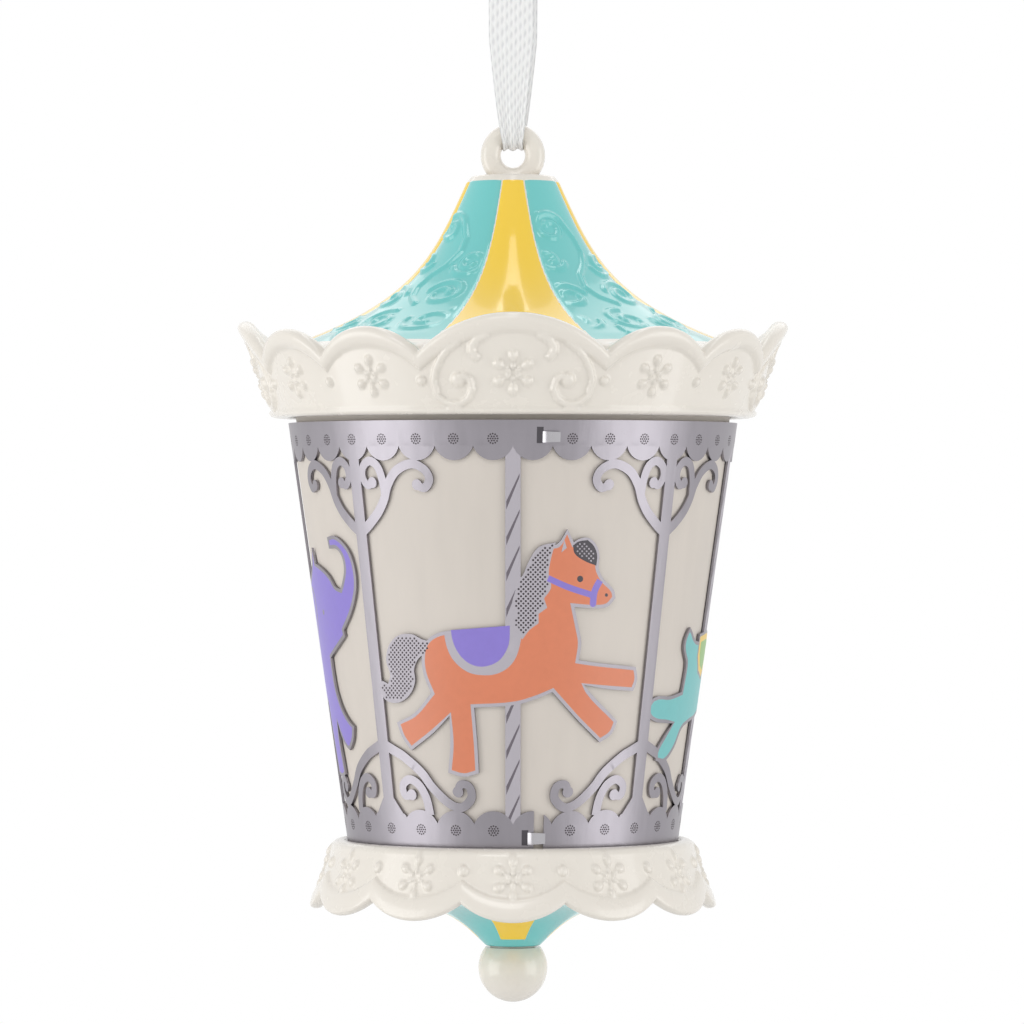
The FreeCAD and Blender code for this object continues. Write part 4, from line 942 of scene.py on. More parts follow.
scallop_turn = (np.arange(TWELFTH) - TWELFTH / 2) * 360.0 / ROUND
scallop_arc = np.radians(scallop_turn) * SKIRT_MEAN_R
hem = arch(np.abs(SKIRT_R * np.sin(np.radians(scallop_turn))), SKIRT_R * math.sin(math.radians(SCALLOP_HALF)),
           SKIRT_Z, SKIRT_Z + SKIRT_NOTCH)


def round_about(values):
    """Repeats one scallop all round, turned so that a scallop faces front."""
    return np.roll(np.tile(values, SCALLOPS), QUARTER // 2 - TWELFTH // 2)


print("skirt hem from", round(float(hem.min()), 2), "to", round(float(hem.max()), 2))

# %% [markdown]
# Each scallop of the skirt has a rolled hem, a flower like the valance's and a bean between it and its
# neighbour. The same helpers do it, with the skirt's own sizes.

# %% Skirt relief
SKIRT_RELIEF = 0.6
SKIRT_FLOWER = 5.6


def skirt_relief(z):
    height = ridge(z - hem - 1.5, 1.6) ** 0.6
    height = np.maximum(height, 0.8 * flower(scallop_arc, z, 0.0, SKIRT_Z + SKIRT_FLOWER, SKIRT_FLOWER))
    for side_sign in (-1, 1):
        across = scallop_arc - side_sign * math.radians(SCALLOP_HALF) * SKIRT_MEAN_R
        height = np.maximum(height, 0.9 * ridge(np.hypot(across, z - SKIRT_Z - 6.6), 0.75))
    return SKIRT_RELIEF * height


print("skirt relief up to", round(float(skirt_relief(np.full(TWELFTH, SKIRT_Z + 5.0)).max()), 2), "mm")

# %% [markdown]
# The base is hollow too: a hole for the winding arbor, a dish above the cone, and a seat with a small raised
# lip that keeps the drum and the sheet in place. It is out of sight while the piece is whole, but the
# exported mesh should be the real shape. The neck is lifted a hair to leave room for the washer under it.

# %% Inside of the base
NECK_R = 3.7
NECK_LIFT = 0.04
BUSH_R = 2.5
FLOOR_OF_DISH = NECK_Z + 3.2
DISH_R = 18.3
DISH_ROWS = 8
CONE_H = 7.5
LIP_IN = 22.3

rows = [(BUSH_R, NECK_Z + NECK_LIFT), (BUSH_R, FLOOR_OF_DISH), (NECK_R, FLOOR_OF_DISH)]
for i in range(1, DISH_ROWS + 1):
    s = i / DISH_ROWS
    rows.append((NECK_R + (DISH_R - NECK_R) * hollow(s), FLOOR_OF_DISH + (CONE_H - 0.8) * s))
rows += [(DISH_R, SEAT_Z), (LIP_IN, SEAT_Z), (LIP_IN, SEAT_Z + 0.2), (LIP_IN + 0.5, SEAT_Z + 0.34),
         (LIP_IN + 1.2, SEAT_Z + 0.2), (LIP_IN + 1.8, SEAT_Z - 0.25)]
print("rows inside the base:", len(rows))

# %% [markdown]
# From the shoulder the rows run down the skirt to its hem, round the hem and back up behind it to the cone.
# As on the valance, each row follows the scalloped edge by a share of the way.

# %% Skirt rows
SHOULDER_R = 24.4
SHOULDER_Z = SEAT_Z - 0.7
SKIRT_ROWS = 40
SKIRT_SINK = 0.2
HEM_RISE, HEM_HALF = 0.5, 0.9
HEM_ROWS = 7
BEHIND_ROWS = 4
CONE_TOP_R = 22.0
CONE_Z = NECK_Z + CONE_H

for i in range(SKIRT_ROWS):
    z = SHOULDER_Z + (hem + HEM_RISE - SHOULDER_Z) * i / (SKIRT_ROWS - 1)
    radius = SHOULDER_R + (SKIRT_R - SHOULDER_R) * (SHOULDER_Z - z) / (SHOULDER_Z - SKIRT_Z)
    rows.append((round_about(radius - SKIRT_SINK + skirt_relief(z)), round_about(z)))
hem_r = rows[-1][0] - HEM_HALF
hem_z = round_about(hem)
for i in range(1, HEM_ROWS):
    turn = math.pi * i / HEM_ROWS
    rows.append((hem_r + HEM_HALF * math.cos(turn), hem_z + HEM_RISE - HEM_RISE * math.sin(turn)))
for i in range(1, BEHIND_ROWS + 1):
    s = i / BEHIND_ROWS
    rows.append(((hem_r - HEM_HALF) * (1 - s) + CONE_TOP_R * s, (hem_z + HEM_RISE) * (1 - s) + CONE_Z * s))
row_slots = [WHITE] * len(rows)
print("rows down to the cone:", len(rows))

# %% [markdown]
# The shallow cone below is striped like the roof, with teal alone near its tip. The last row is joined to the
# first, so this grid closes on itself in both directions.

# %% Base casting
CONE_ROWS = 50
CONE_STRIPE = 19.9
CONE_TIP = 0.16

stripes = np.where(np.abs(quarter_turn) < CONE_STRIPE, YELLOW, TEAL)
for i in range(1, CONE_ROWS + 1):
    s = 1.0 - i / CONE_ROWS
    radius = NECK_R + (CONE_TOP_R - NECK_R) * hollow(s)
    rows.append((radius, NECK_Z + NECK_LIFT + (CONE_H - NECK_LIFT) * s))
    row_slots.append(np.full(ROUND, TEAL) if s < CONE_TIP else np.tile(stripes, 4))
base = spin_grid("base_casting", rows, row_slots, PORCELAIN, "carousel", True)
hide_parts("base")
print("base:", len(base.data.polygons), "faces")

# %% [markdown]
# The wrap is one etched sheet bent round the drum. It could be cut out of a cylinder with Booleans, which are
# slow and fragile with this many holes. Instead it is drawn flat: every band, post, scroll, pole and animal
# is an outline with a finish, and a later outline lies on top of an earlier one. Outlines are kept as degrees
# round the drum and heights.

# %% Flat drawing of the sheet
WRAP_TOP_Z = wrap_high[2]
WRAP_TOP_R = wrap_high[0]
WRAP_LOW_R = 22.0
WRAP_THICK = 0.3
WRAP_H = WRAP_TOP_Z - SEAT_Z
FLAT_R = 26.0
FINISHES = [SHEET_METAL, ETCHED_METAL, CORAL_ENAMEL, PURPLE_ENAMEL, TEAL_ENAMEL, YELLOW_ENAMEL, GREEN_ENAMEL,
            DARK_ENAMEL_AND_SLOT_SHADE, TWIST_METAL, FROST_METAL]
METAL, ETCH, CORAL, PURPLE, AQUA, GOLD, LEAF, DARK_AND_SLOT_SHADE, TWIST, FROST, HOLE = range(11)
outlines = []


def sheet_r(z):
    return WRAP_TOP_R + (WRAP_LOW_R - WRAP_TOP_R) * (WRAP_TOP_Z - z) / WRAP_H


def draw(points, finish_slot, middle=0.0):
    """Adds an outline given as (across, height) in millimetres about a direction in degrees."""
    ring = [(middle + math.degrees(x / sheet_r(z)), z) for x, z in points]
    turning = sum(a[0] * b[1] - b[0] * a[1] for a, b in zip(ring, ring[1:] + ring[:1]))
    outlines.append((ring if turning > 0 else ring[::-1], finish_slot))


print("sheet:", round(WRAP_H, 2), "mm high with", len(FINISHES), "finishes")

# %% [markdown]
# Scrolls in the sheet are strips of even or changing width along a smooth line, with a round end. The line
# goes through the given points, which makes a drawing easy to correct: a point that is off is simply moved.

# %% Strips and spots
def smooth_line(points, steps=6):
    """Catmull-Rom line through points."""
    ends = [points[0]] + list(points) + [points[-1]]
    line = []
    for p0, p1, p2, p3 in zip(ends, ends[1:], ends[2:], ends[3:]):
        for i in range(steps):
            t = i / steps
            line.append(tuple(0.5 * (2 * b + (c - a) * t + (2 * a - 5 * b + 4 * c - d) * t * t
                                     + (3 * b - a - 3 * c + d) * t ** 3) for a, b, c, d in zip(p0, p1, p2, p3)))
    return line + [tuple(points[-1])]


def strip_outline(points, start_w, end_w=None):
    """Outline of a strip along a line, with round ends and an even change of width."""
    line = np.array(smooth_line(points))
    way = np.gradient(line, axis=0)
    way /= np.linalg.norm(way, axis=1)[:, None] + 1e-9
    half = np.linspace(start_w, end_w or start_w, len(line))[:, None] / 2.0
    left = np.stack([-way[:, 1], way[:, 0]], axis=1)
    cap = []
    for i in range(1, 6):
        turn = math.pi * (0.5 - i / 6)
        cap.append(line[-1] + half[-1] * (way[-1] * math.cos(turn) + left[-1] * math.sin(turn)))
    return [tuple(p) for p in np.concatenate([line + left * half, np.array(cap), (line - left * half)[::-1]])]


def spot_outline(x, z, radius, sides=14):
    return [(x + radius * math.cos(2 * math.pi * i / sides), z + radius * math.sin(2 * math.pi * i / sides))
            for i in range(sides)]


print("a strip through three points has", len(strip_outline([(0, 0), (1, 1), (2, 0)], 0.5)), "corners")

# %% [markdown]
# Every animal has a bare metal edge round its paint. The paint is the same outline moved in by the width of
# that edge, each corner along the middle of its two sides. A very sharp corner is held back so that it can't
# shoot through.

# %% Moving an outline in
def inset(points, amount):
    """Outline moved inwards by an even amount."""
    ring = np.array(points)
    before, after = np.roll(ring, 1, axis=0), np.roll(ring, -1, axis=0)
    area = np.sum(ring[:, 0] * after[:, 1] - after[:, 0] * ring[:, 1])
    def normal(a, b):
        way = (b - a) / (np.linalg.norm(b - a, axis=1)[:, None] + 1e-9)
        return np.stack([-way[:, 1], way[:, 0]], axis=1) * np.sign(area)
    first, second = normal(before, ring), normal(ring, after)
    middle = first + second
    middle /= np.clip(np.sum(middle * first, axis=1), 0.7, None)[:, None]
    return [tuple(p) for p in ring + amount * middle]


print("a square of 2 mm moved in by 0.5 starts at", inset([(0, 0), (2, 0), (2, 2), (0, 2)], 0.5)[0])

# %% [markdown]
# The animals were cut with smooth curves and a few sharp corners, such as hooves and ears. Their outlines are
# given by few points. Where an outline turns only a little, a curve with an even tangent replaces the corner,
# and where it turns sharply the corner stays.

# %% Smooth outlines
def rounded(points, corner=50.0, steps=4):
    """Closed outline with its gentle bends made smooth and its sharp corners kept."""
    ring = np.array(points)
    ahead = np.roll(ring, -1, axis=0) - ring
    length = np.linalg.norm(ahead, axis=1)[:, None]
    way = ahead / length
    before = np.roll(way, 1, axis=0)
    bend_deg = np.degrees(np.arccos(np.clip(np.sum(way * before, axis=1), -1.0, 1.0)))
    middle_way = (way + before) / np.linalg.norm(way + before, axis=1)[:, None]
    gentle = bend_deg < corner
    line = []
    for i in range(len(ring)):
        j = (i + 1) % len(ring)
        leave = (middle_way[i] if gentle[i] else way[i]) * length[i]
        arrive = (middle_way[j] if gentle[j] else way[i]) * length[i]
        for k in range(steps):
            t = k / steps
            line.append(tuple((2 * t ** 3 - 3 * t ** 2 + 1) * ring[i] + (t ** 3 - 2 * t ** 2 + t) * leave
                              + (3 * t ** 2 - 2 * t ** 3) * ring[j] + (t ** 3 - t ** 2) * arrive))
    return line


print("a ring of 8 points becomes", len(rounded(spot_outline(0.0, 0.0, 1.0, 8))), "points")

# %% [markdown]
# A twisted pole carries each animal from band to band. The twist is a row of slanting strips over a plain
# bar. The poles are drawn first, so that the bands and animals lie on top. The one by the cat stands a little
# off the animal's middle.

# %% Poles
BAND = 3.3
HIGH_BAND_Z = WRAP_TOP_Z - BAND
LOW_BAND_Z = SEAT_Z + BAND
SPAN = HIGH_BAND_Z - LOW_BAND_Z
TUCK = 0.8
POLE_W = 1.95
POLE_EDGE = 0.12
TWIST_PITCH = 4.6
TWIST_RISE = 4.2
POLES = (-180.0, -90.0, 0.0, 79.0, 180.0)


def upright(width):
    """Outline of an upright bar that is tucked under both bands."""
    half, low, high = width / 2, LOW_BAND_Z - TUCK, HIGH_BAND_Z + TUCK
    return [(-half, low), (half, low), (half, high), (-half, high)]


for middle in POLES:
    draw(upright(POLE_W), FROST, middle)
    half = POLE_W / 2 - POLE_EDGE
    for i in range(int((SPAN - 3.0) / TWIST_PITCH)):
        z = LOW_BAND_Z - 0.6 + TWIST_PITCH * i
        top = z + TWIST_RISE
        draw([(-half, z), (half, top), (half, top + 0.45), (-half, z + 1.1)], TWIST, middle)
print("poles:", len(POLES), "with the one at the back drawn at both ends")

# %% [markdown]
# A band runs round the top and another round the bottom, with a row of scallops on each: one every ten
# degrees above and seven to a quarter below. The bands are drawn past the ends of the sheet and cut off
# later, so that no sliver is left at the back. The places for the etched spots are noted on the way, without
# those that the tabs would cover.

# %% Bands
SCALLOP_R = 2.72
SCALLOP_SINK = 0.85
TOP_STEP = 10.0
LOW_STEP = 90.0 / 7.0
OVERDRAW = 200.0
BAND_STEP = 5.0
SCALLOP_REACH = 190

spots = []
for z0, z1 in ((HIGH_BAND_Z, WRAP_TOP_Z), (SEAT_Z, LOW_BAND_Z)):
    low_side = [(-OVERDRAW + BAND_STEP * i, z0) for i in range(int(OVERDRAW * 2 / BAND_STEP) + 1)]
    outlines.append((low_side + [(a, z1) for a, z in reversed(low_side)], METAL))
for step, z, spot_z in ((TOP_STEP, HIGH_BAND_Z + SCALLOP_SINK, WRAP_TOP_Z - 2.4),
                        (LOW_STEP, LOW_BAND_Z - SCALLOP_SINK, SEAT_Z + 2.6)):
    for i in range(-int(SCALLOP_REACH / step), int(SCALLOP_REACH / step)):
        middle = (i + 0.5) * step
        draw(spot_outline(0.0, z, SCALLOP_R, 28), METAL, middle)
        if middle not in (0.5 * TOP_STEP, 0.5 * LOW_STEP):
            spots.append((middle, spot_z))
print("bands with", len(spots), "places for spots")

# %% [markdown]
# Four posts stand between the animals, with scroll brackets at the top and the foot. A bracket is a few
# strips drawn for the right side and mirrored, and each scroll ends in a small ball.

# %% Posts and brackets
POST_W = 1.85
CURL_BALL = 0.72
HIGH_BRACKET = [
    ([(0.4, -11.0), (1.9, -9.9), (3.5, -8.4), (4.6, -6.8), (5.4, -5.0), (6.9, -3.2), (9.2, -2.3), (11.0, -3.0),
      (11.6, -4.3), (10.8, -5.4), (9.8, -5.0)], 1.35, 1.05),
    ([(4.8, -6.4), (4.6, -4.4), (4.0, -2.6), (2.8, -1.9), (1.6, -2.6), (1.3, -3.9), (2.0, -5.0), (2.9, -4.7)],
     1.2, 1.05),
]
LOW_BRACKET = [
    ([(0.4, 10.2), (1.9, 9.5), (3.5, 8.7), (5.9, 6.8), (7.4, 4.8), (9.5, 2.8), (11.2, 2.3), (12.6, 3.5),
      (12.5, 5.0), (11.4, 5.3), (10.9, 4.3)], 1.35, 1.0),
    ([(6.6, 1.2), (6.3, 3.4), (5.4, 5.1), (4.0, 5.8), (2.8, 5.0), (3.0, 3.7), (4.1, 3.8)], 1.2, 1.05),
    ([(0.2, 3.4), (1.2, 2.0), (2.2, 0.6)], 1.1, 1.1),
]
for post in (-135.0, -45.0, 45.0, 135.0):
    draw(upright(POST_W), METAL, post)
    for band_z, strips in ((HIGH_BAND_Z, HIGH_BRACKET), (LOW_BAND_Z, LOW_BRACKET)):
        for points, start_w, end_w in strips:
            for mirror in (-1, 1):
                placed = [(mirror * x, band_z + z) for x, z in points]
                draw(strip_outline(placed, start_w, end_w), METAL, post)
                draw(spot_outline(*placed[-1], CURL_BALL, 16), METAL, post)
print("outlines of the frame:", len(outlines))

# %% [markdown]
# The animals are plain carousel figures, as on any fairground. The horse is one closed outline in millimetres
# from the middle of the figure, going round from the tip of the ear. The points are as seen from straight in
# front, so they are stretched a little when they are laid on the curved sheet.

# %% Outline of the horse
FIGURE_Z = EYE_Z - 63.6
HORSE = [
    (7.0, 13.9), (7.8, 12.2), (8.4, 12.6), (9.6, 12.8), (10.6, 12.0), (11.1, 10.6), (11.0, 8.9),
    (11.7, 7.4), (13.0, 6.0), (13.2, 5.0), (12.2, 3.9), (10.4, 3.7), (7.9, 3.9), (8.4, 1.5), (8.8, -0.7),
    (8.5, -3.0), (10.4, -3.3), (16.0, -4.0), (16.2, -5.6), (15.7, -7.1), (12.4, -6.8), (9.2, -6.2),
    (9.8, -7.0), (13.6, -11.0), (12.9, -12.6), (11.3, -13.7), (8.5, -10.9), (5.1, -7.1), (2.9, -8.0),
    (0.5, -8.7), (-5.0, -9.1), (-4.6, -13.9), (-4.4, -17.6), (-6.3, -18.1), (-8.4, -17.6), (-8.1, -13.9),
    (-8.2, -10.2), (-10.3, -12.4), (-13.3, -14.8), (-14.5, -13.1), (-15.2, -11.2), (-12.9, -10.0),
    (-10.6, -7.3), (-11.6, -4.7), (-11.8, -2.9), (-11.4, -0.9), (-10.3, 0.2), (-8.4, 0.8), (-2.6, 1.2),
    (0.3, 1.7), (-0.1, 2.8), (0.2, 4.4), (1.4, 7.7), (2.5, 10.1), (4.3, 11.7), (5.7, 12.0),
]
print("horse:", len(HORSE), "points")

# %% [markdown]
# Mane, tail, forelock, ear and saddle are outlines of their own that lie over the body, in the order in which
# the enameller would have worked: bare metal first, colour on top.

# %% Mane, tail and saddle
HORSE_MANE = [
    (5.5, 12.2), (3.3, 11.6), (2.0, 9.7), (1.2, 7.9), (0.5, 7.2), (0.3, 6.0), (-0.1, 4.2), (0.3, 3.2),
    (-0.2, 1.8), (1.2, -0.3), (2.2, 1.0), (3.3, 1.8), (3.3, 3.0), (4.4, 3.8), (4.0, 5.0), (4.9, 6.4),
    (4.6, 8.2), (5.0, 10.6),
]
HORSE_FORELOCK = [
    (7.7, 11.8), (8.4, 12.3), (9.6, 12.5), (10.4, 11.7), (10.8, 10.6), (10.7, 9.2), (9.2, 9.8), (7.9, 10.8),
]
HORSE_EAR = [
    (6.6, 12.5), (6.2, 10.9), (6.9, 11.5),
]
HORSE_TAIL = [
    (-10.6, -0.6), (-11.8, -0.3), (-13.0, 0.3), (-14.9, 0.1), (-16.1, -1.2), (-16.5, -3.2), (-16.0, -5.1),
    (-16.3, -6.2), (-17.1, -5.8), (-17.5, -6.9), (-16.7, -8.3), (-14.9, -8.6), (-13.4, -7.5), (-12.7, -5.8),
    (-12.8, -4.1), (-11.9, -2.5), (-10.8, -2.2),
]
SADDLE = [
    (-8.0, 0.9), (-7.8, -0.3), (-7.3, -1.6), (-6.4, -2.8), (-5.4, -3.5), (-4.2, -3.8), (-2.9, -3.6),
    (-1.8, -3.0), (-1.0, -2.0), (-0.5, -0.7), (-0.4, 1.5),
]
SADDLE_EDGE = [
    (-8.9, 0.7), (-8.6, -1.0), (-8.0, -2.5), (-7.0, -3.7), (-5.6, -4.6), (-4.0, -4.9), (-2.4, -4.8),
    (-1.0, -4.2), (0.1, -3.1), (0.8, -1.4), (1.0, 0.6), (0.5, 1.5),
]
BRIDLE = [(4.5, 7.6), (7.2, 6.4), (10.2, 5.4)]
NOSEBAND = [(11.2, 7.3), (10.5, 5.9), (10.3, 4.3)]
print("mane and tail:", len(HORSE_MANE), "and", len(HORSE_TAIL), "points")

# %% [markdown]
# Mane and tail are shaded by a fine grid of etched dots, like a printed halftone. A dot is kept if its middle
# is inside the outline, which a count of crossings to one side decides. A texture could show the dots as
# well, but as cut shapes they stay sharp in the exported mesh.

# %% Etched dots
def within(point, ring):
    """Whether a point lies inside an outline."""
    x, z = point
    inside = False
    for (x0, z0), (x1, z1) in zip(ring, ring[1:] + ring[:1]):
        if (z0 > z) != (z1 > z) and x < x0 + (x1 - x0) * (z - z0) / (z1 - z0):
            inside = not inside
    return inside


def etch_dots(ring, middle, slot=ETCH, pitch=0.62, radius=0.155):
    """Fills an outline with the fine grid of dots that the etching leaves."""
    low, high = np.min(ring, axis=0), np.max(ring, axis=0)
    inner = inset(ring, 0.3)
    for row, z in enumerate(np.arange(low[1], high[1], 0.5 * pitch)):
        for x in np.arange(low[0] + 0.5 * pitch * (row % 2), high[0], pitch):
            if within((x, z), inner):
                draw(spot_outline(x, z, radius, 6), slot, middle)


print("the middle of the mane is inside it:", within((2.5, 5.0), HORSE_MANE))

# %% [markdown]
# The horse is laid on in layers, each over the last: frosted edge, coat, mane with its dots, forelock,
# saddle, bridle and eye. Front and back horses differ only in the colours of coat and tack.

# %% Horse
PAINT_EDGE = 0.45


def on_sheet(points):
    """Points seen from straight in front, laid on the curve of the sheet."""
    return [(FLAT_R * math.asin(x / FLAT_R), FIGURE_Z + z) for x, z in points]


def draw_horse(middle, coat, tack):
    draw(rounded(on_sheet(HORSE)), FROST, middle)
    draw(rounded(on_sheet(HORSE_TAIL)), FROST, middle)
    draw(rounded(inset(on_sheet(HORSE), PAINT_EDGE)), coat, middle)
    draw(rounded(on_sheet(HORSE_MANE)), FROST, middle)
    etch_dots(on_sheet(HORSE_MANE), middle)
    etch_dots(on_sheet(HORSE_TAIL), middle)
    draw(rounded(on_sheet(HORSE_FORELOCK)), DARK_AND_SLOT_SHADE, middle)
    etch_dots(on_sheet(HORSE_FORELOCK), middle, METAL, radius=0.13)
    draw(on_sheet(HORSE_EAR), FROST, middle)
    draw(rounded(on_sheet(SADDLE_EDGE)), FROST, middle)
    draw(rounded(on_sheet(SADDLE)), tack, middle)
    draw(strip_outline(on_sheet(BRIDLE), 0.8), tack, middle)
    draw(strip_outline(on_sheet(NOSEBAND), 0.9), tack, middle)
    draw(spot_outline(8.8, FIGURE_Z + 7.5, 0.42), DARK_AND_SLOT_SHADE, middle)
    draw(spot_outline(12.5, FIGURE_Z + 5.4, 0.24, 8), DARK_AND_SLOT_SHADE, middle)


print("the horse is", round(on_sheet(HORSE)[0][1] - FIGURE_Z, 1), "mm tall above its middle")

# %% [markdown]
# The elephant is on the left side with its trunk curled up. From the front only its head, trunk and forelegs
# show, so the rest is a plain elephant of the same size. Its points are measured along the sheet.

# %% Outline of the elephant
ELEPHANT = [
    (13.9, 12.8), (15.7, 13.0), (17.6, 12.2), (18.8, 10.9), (19.3, 9.0), (19.1, 6.7), (18.2, 4.7),
    (16.7, 2.7), (14.4, 0.6), (14.5, -0.2), (13.1, -1.0), (11.6, -1.8), (8.9, -3.1), (8.8, -5.0),
    (9.0, -7.3), (10.1, -9.6), (11.8, -11.3), (13.0, -12.0), (12.2, -13.8), (10.7, -15.2), (9.6, -14.7),
    (8.4, -13.5), (7.4, -11.4), (7.2, -14.0), (7.4, -16.3), (7.6, -18.5), (6.0, -18.9), (4.0, -18.6),
    (3.4, -14.0), (2.8, -9.4), (0.0, -8.6), (-3.0, -8.8), (-3.6, -13.0), (-3.6, -17.8), (-5.6, -18.4),
    (-7.6, -17.9), (-7.6, -13.4), (-7.9, -10.4), (-9.8, -12.6), (-12.6, -15.2), (-14.0, -13.8),
    (-15.0, -12.0), (-12.8, -9.8), (-11.4, -6.0), (-12.6, -4.4), (-13.6, -1.6), (-12.8, -1.2),
    (-12.0, -2.4), (-12.2, 0.4), (-11.4, 3.6), (-9.0, 5.8), (-5.0, 6.8), (0.0, 6.6), (3.4, 7.4), (5.6, 8.8),
    (6.4, 9.6), (7.4, 11.4), (7.9, 9.4), (9.3, 9.1), (11.4, 8.4), (12.8, 7.6), (13.9, 6.4), (15.3, 6.0),
    (16.1, 7.0), (17.0, 8.7), (16.9, 10.4), (15.8, 11.3), (14.0, 11.3),
]
ELEPHANT_EAR = [
    (4.6, 5.2), (3.2, 6.1), (1.2, 6.2), (-0.7, 5.4), (-1.8, 3.8), (-2.0, 1.6), (-1.2, -0.6), (0.2, -2.2),
    (1.4, -2.6), (2.2, -1.6), (2.9, -0.2), (4.0, 1.2), (4.7, 2.8), (4.9, 4.2),
]
print("elephant:", len(ELEPHANT), "points")

# %% [markdown]
# The cat is on the right side, leaping away. From the front its short tail and its hind legs show, and the
# rest is a plain cat. Both animals wear the same blanket in other colours.

# %% Outline of the cat
CAT = [
    (-12.2, 1.0), (-13.0, -0.2), (-13.2, -1.4), (-12.6, -2.6), (-11.7, -3.7), (-11.6, -6.2), (-11.7, -7.5),
    (-14.7, -8.0), (-18.2, -8.1), (-19.0, -9.0), (-18.7, -10.4), (-17.2, -11.2), (-14.6, -11.5),
    (-12.9, -11.6), (-14.4, -13.1), (-15.8, -15.2), (-15.6, -16.4), (-13.6, -16.6), (-11.4, -14.8),
    (-9.9, -12.4), (-8.0, -11.7), (-4.9, -11.2), (-1.7, -10.6), (2.4, -10.6), (5.0, -11.2), (4.6, -13.6),
    (5.0, -16.2), (7.6, -16.4), (8.2, -13.2), (9.2, -10.8), (12.4, -10.6), (16.0, -11.6), (17.2, -9.8),
    (15.8, -8.2), (12.4, -7.6), (10.6, -6.0), (10.2, -3.6), (12.4, -2.8), (14.2, -1.4), (14.4, 0.4),
    (13.4, 2.0), (12.4, 3.0), (12.6, 5.6), (10.6, 4.2), (8.6, 4.2), (6.6, 5.8), (6.4, 2.8), (5.6, 0.6),
    (3.6, -0.6), (-6.5, -0.9), (-9.1, -0.9), (-10.5, -0.3), (-11.2, 0.3),
]
BLANKET = [
    (-6.4, 0.0), (-2.0, 0.5), (2.6, 0.2), (2.6, -2.6), (1.4, -4.8), (-1.6, -6.2), (-4.6, -5.2),
    (-6.2, -3.0),
]
print("cat:", len(CAT), "points")

# %% [markdown]
# These two are simpler than the horse: an edge, a coat, an eye and a blanket with a coloured border. Small
# helpers draw what they share.

# %% Elephant and cat
def at_figure(points, across=0.0, up=0.0):
    return [(across + x, FIGURE_Z + up + z) for x, z in points]


def draw_figure(middle, ring, coat):
    """A figure's bare metal edge, then the enamel inside it."""
    draw(rounded(at_figure(ring)), METAL, middle)
    draw(rounded(inset(at_figure(ring), PAINT_EDGE)), coat, middle)


def draw_blanket(middle, across, up, edge, field):
    for depth, slot in ((0.0, METAL), (0.4, edge), (1.2, field)):
        draw(inset(at_figure(BLANKET, across, up), depth), slot, middle)


def draw_elephant(middle):
    draw_figure(middle, ELEPHANT, PURPLE)
    draw_figure(middle, ELEPHANT_EAR, PURPLE)
    draw(spot_outline(8.6, FIGURE_Z + 2.9, 0.36), METAL, middle)
    draw_blanket(middle, -4.6, 6.4, GOLD, AQUA)


def draw_cat(middle):
    draw_figure(middle, CAT, AQUA)
    draw(spot_outline(11.6, FIGURE_Z + 0.8, 0.42), DARK_AND_SLOT_SHADE, middle)
    draw(spot_outline(13.9, FIGURE_Z - 0.4, 0.34), DARK_AND_SLOT_SHADE, middle)
    draw_blanket(middle, -1.8, 0.0, GOLD, LEAF)


print("a blanket is", round(BLANKET[2][0] - BLANKET[0][0], 1), "mm long")

# %% [markdown]
# One animal faces each way. The horse at the back straddles the two ends of the flat drawing, so it is drawn
# once at each end and the cut takes away what is too much.

# %% Animals in place
draw_elephant(-90.0)
draw_cat(90.0)
draw_horse(0.0, CORAL, PURPLE)
for middle in (-180.0, 180.0):
    draw_horse(middle, GOLD, AQUA)
print("outlines with the animals:", len(outlines))

# %% [markdown]
# Each spot on the bands is a tiny rosette of nineteen etched dots: one in the middle and two rings round it.

# %% Etched spots
ROSETTE = ((0.0, 1), (0.31, 6), (0.62, 12))
DOT_R = 0.125
for middle, z in spots:
    for ring_r, count in ROSETTE:
        for k in range(count):
            turn = 2.0 * math.pi * k / count
            draw(spot_outline(ring_r * math.cos(turn), z + ring_r * math.sin(turn), DOT_R, 6), ETCH, middle)
print("spots:", len(spots))

# %% [markdown]
# The ends of the sheet meet in front, beside the pole. Each band has a slot for a tab, and the lower band has
# a notch at the seam. A slot is not cut: it is a dark outline of painted shade, standing for the drum in shadow
# close behind it, while the notch is a hole.

# %% Slots and seam
SEAM = (6.9, 10.2)
SEAM_TOP_Z = LOW_BAND_Z + 2.4
TOP_SLOT, LOW_SLOT = 6.75, 4.0
SLOT_HALF = 0.43
# painted shade: dark enamel fills each tab slot in place of a hole
for turn, z0, z1 in ((TOP_SLOT, WRAP_TOP_Z - 3.0, WRAP_TOP_Z - 0.9), (LOW_SLOT, SEAT_Z + 0.7, SEAT_Z + 2.7)):
    draw([(-SLOT_HALF, z0), (SLOT_HALF, z0), (SLOT_HALF, z1), (-SLOT_HALF, z1)], DARK_AND_SLOT_SHADE, turn)
outlines.append(([(SEAM[0], SEAT_Z - 1), (SEAM[1], SEAT_Z - 1), (SEAM[1], SEAM_TOP_Z), (SEAM[0], SEAM_TOP_Z)],
                 HOLE))
print("outlines in all:", len(outlines))

# %% [markdown]
# A triangulation needs every corner of every outline. A loose grid of extra points is added, because a sheet
# that is bent round a drum needs corners inside its wide fields too. Two upright edges mark where the sheet
# ends at the back.

# %% Points for the triangles
GRID_DEG = 2.5
GRID_Z = 2.0
EDGE_REACH = 2.0


def flat_x(angle):
    return math.radians(angle) * FLAT_R


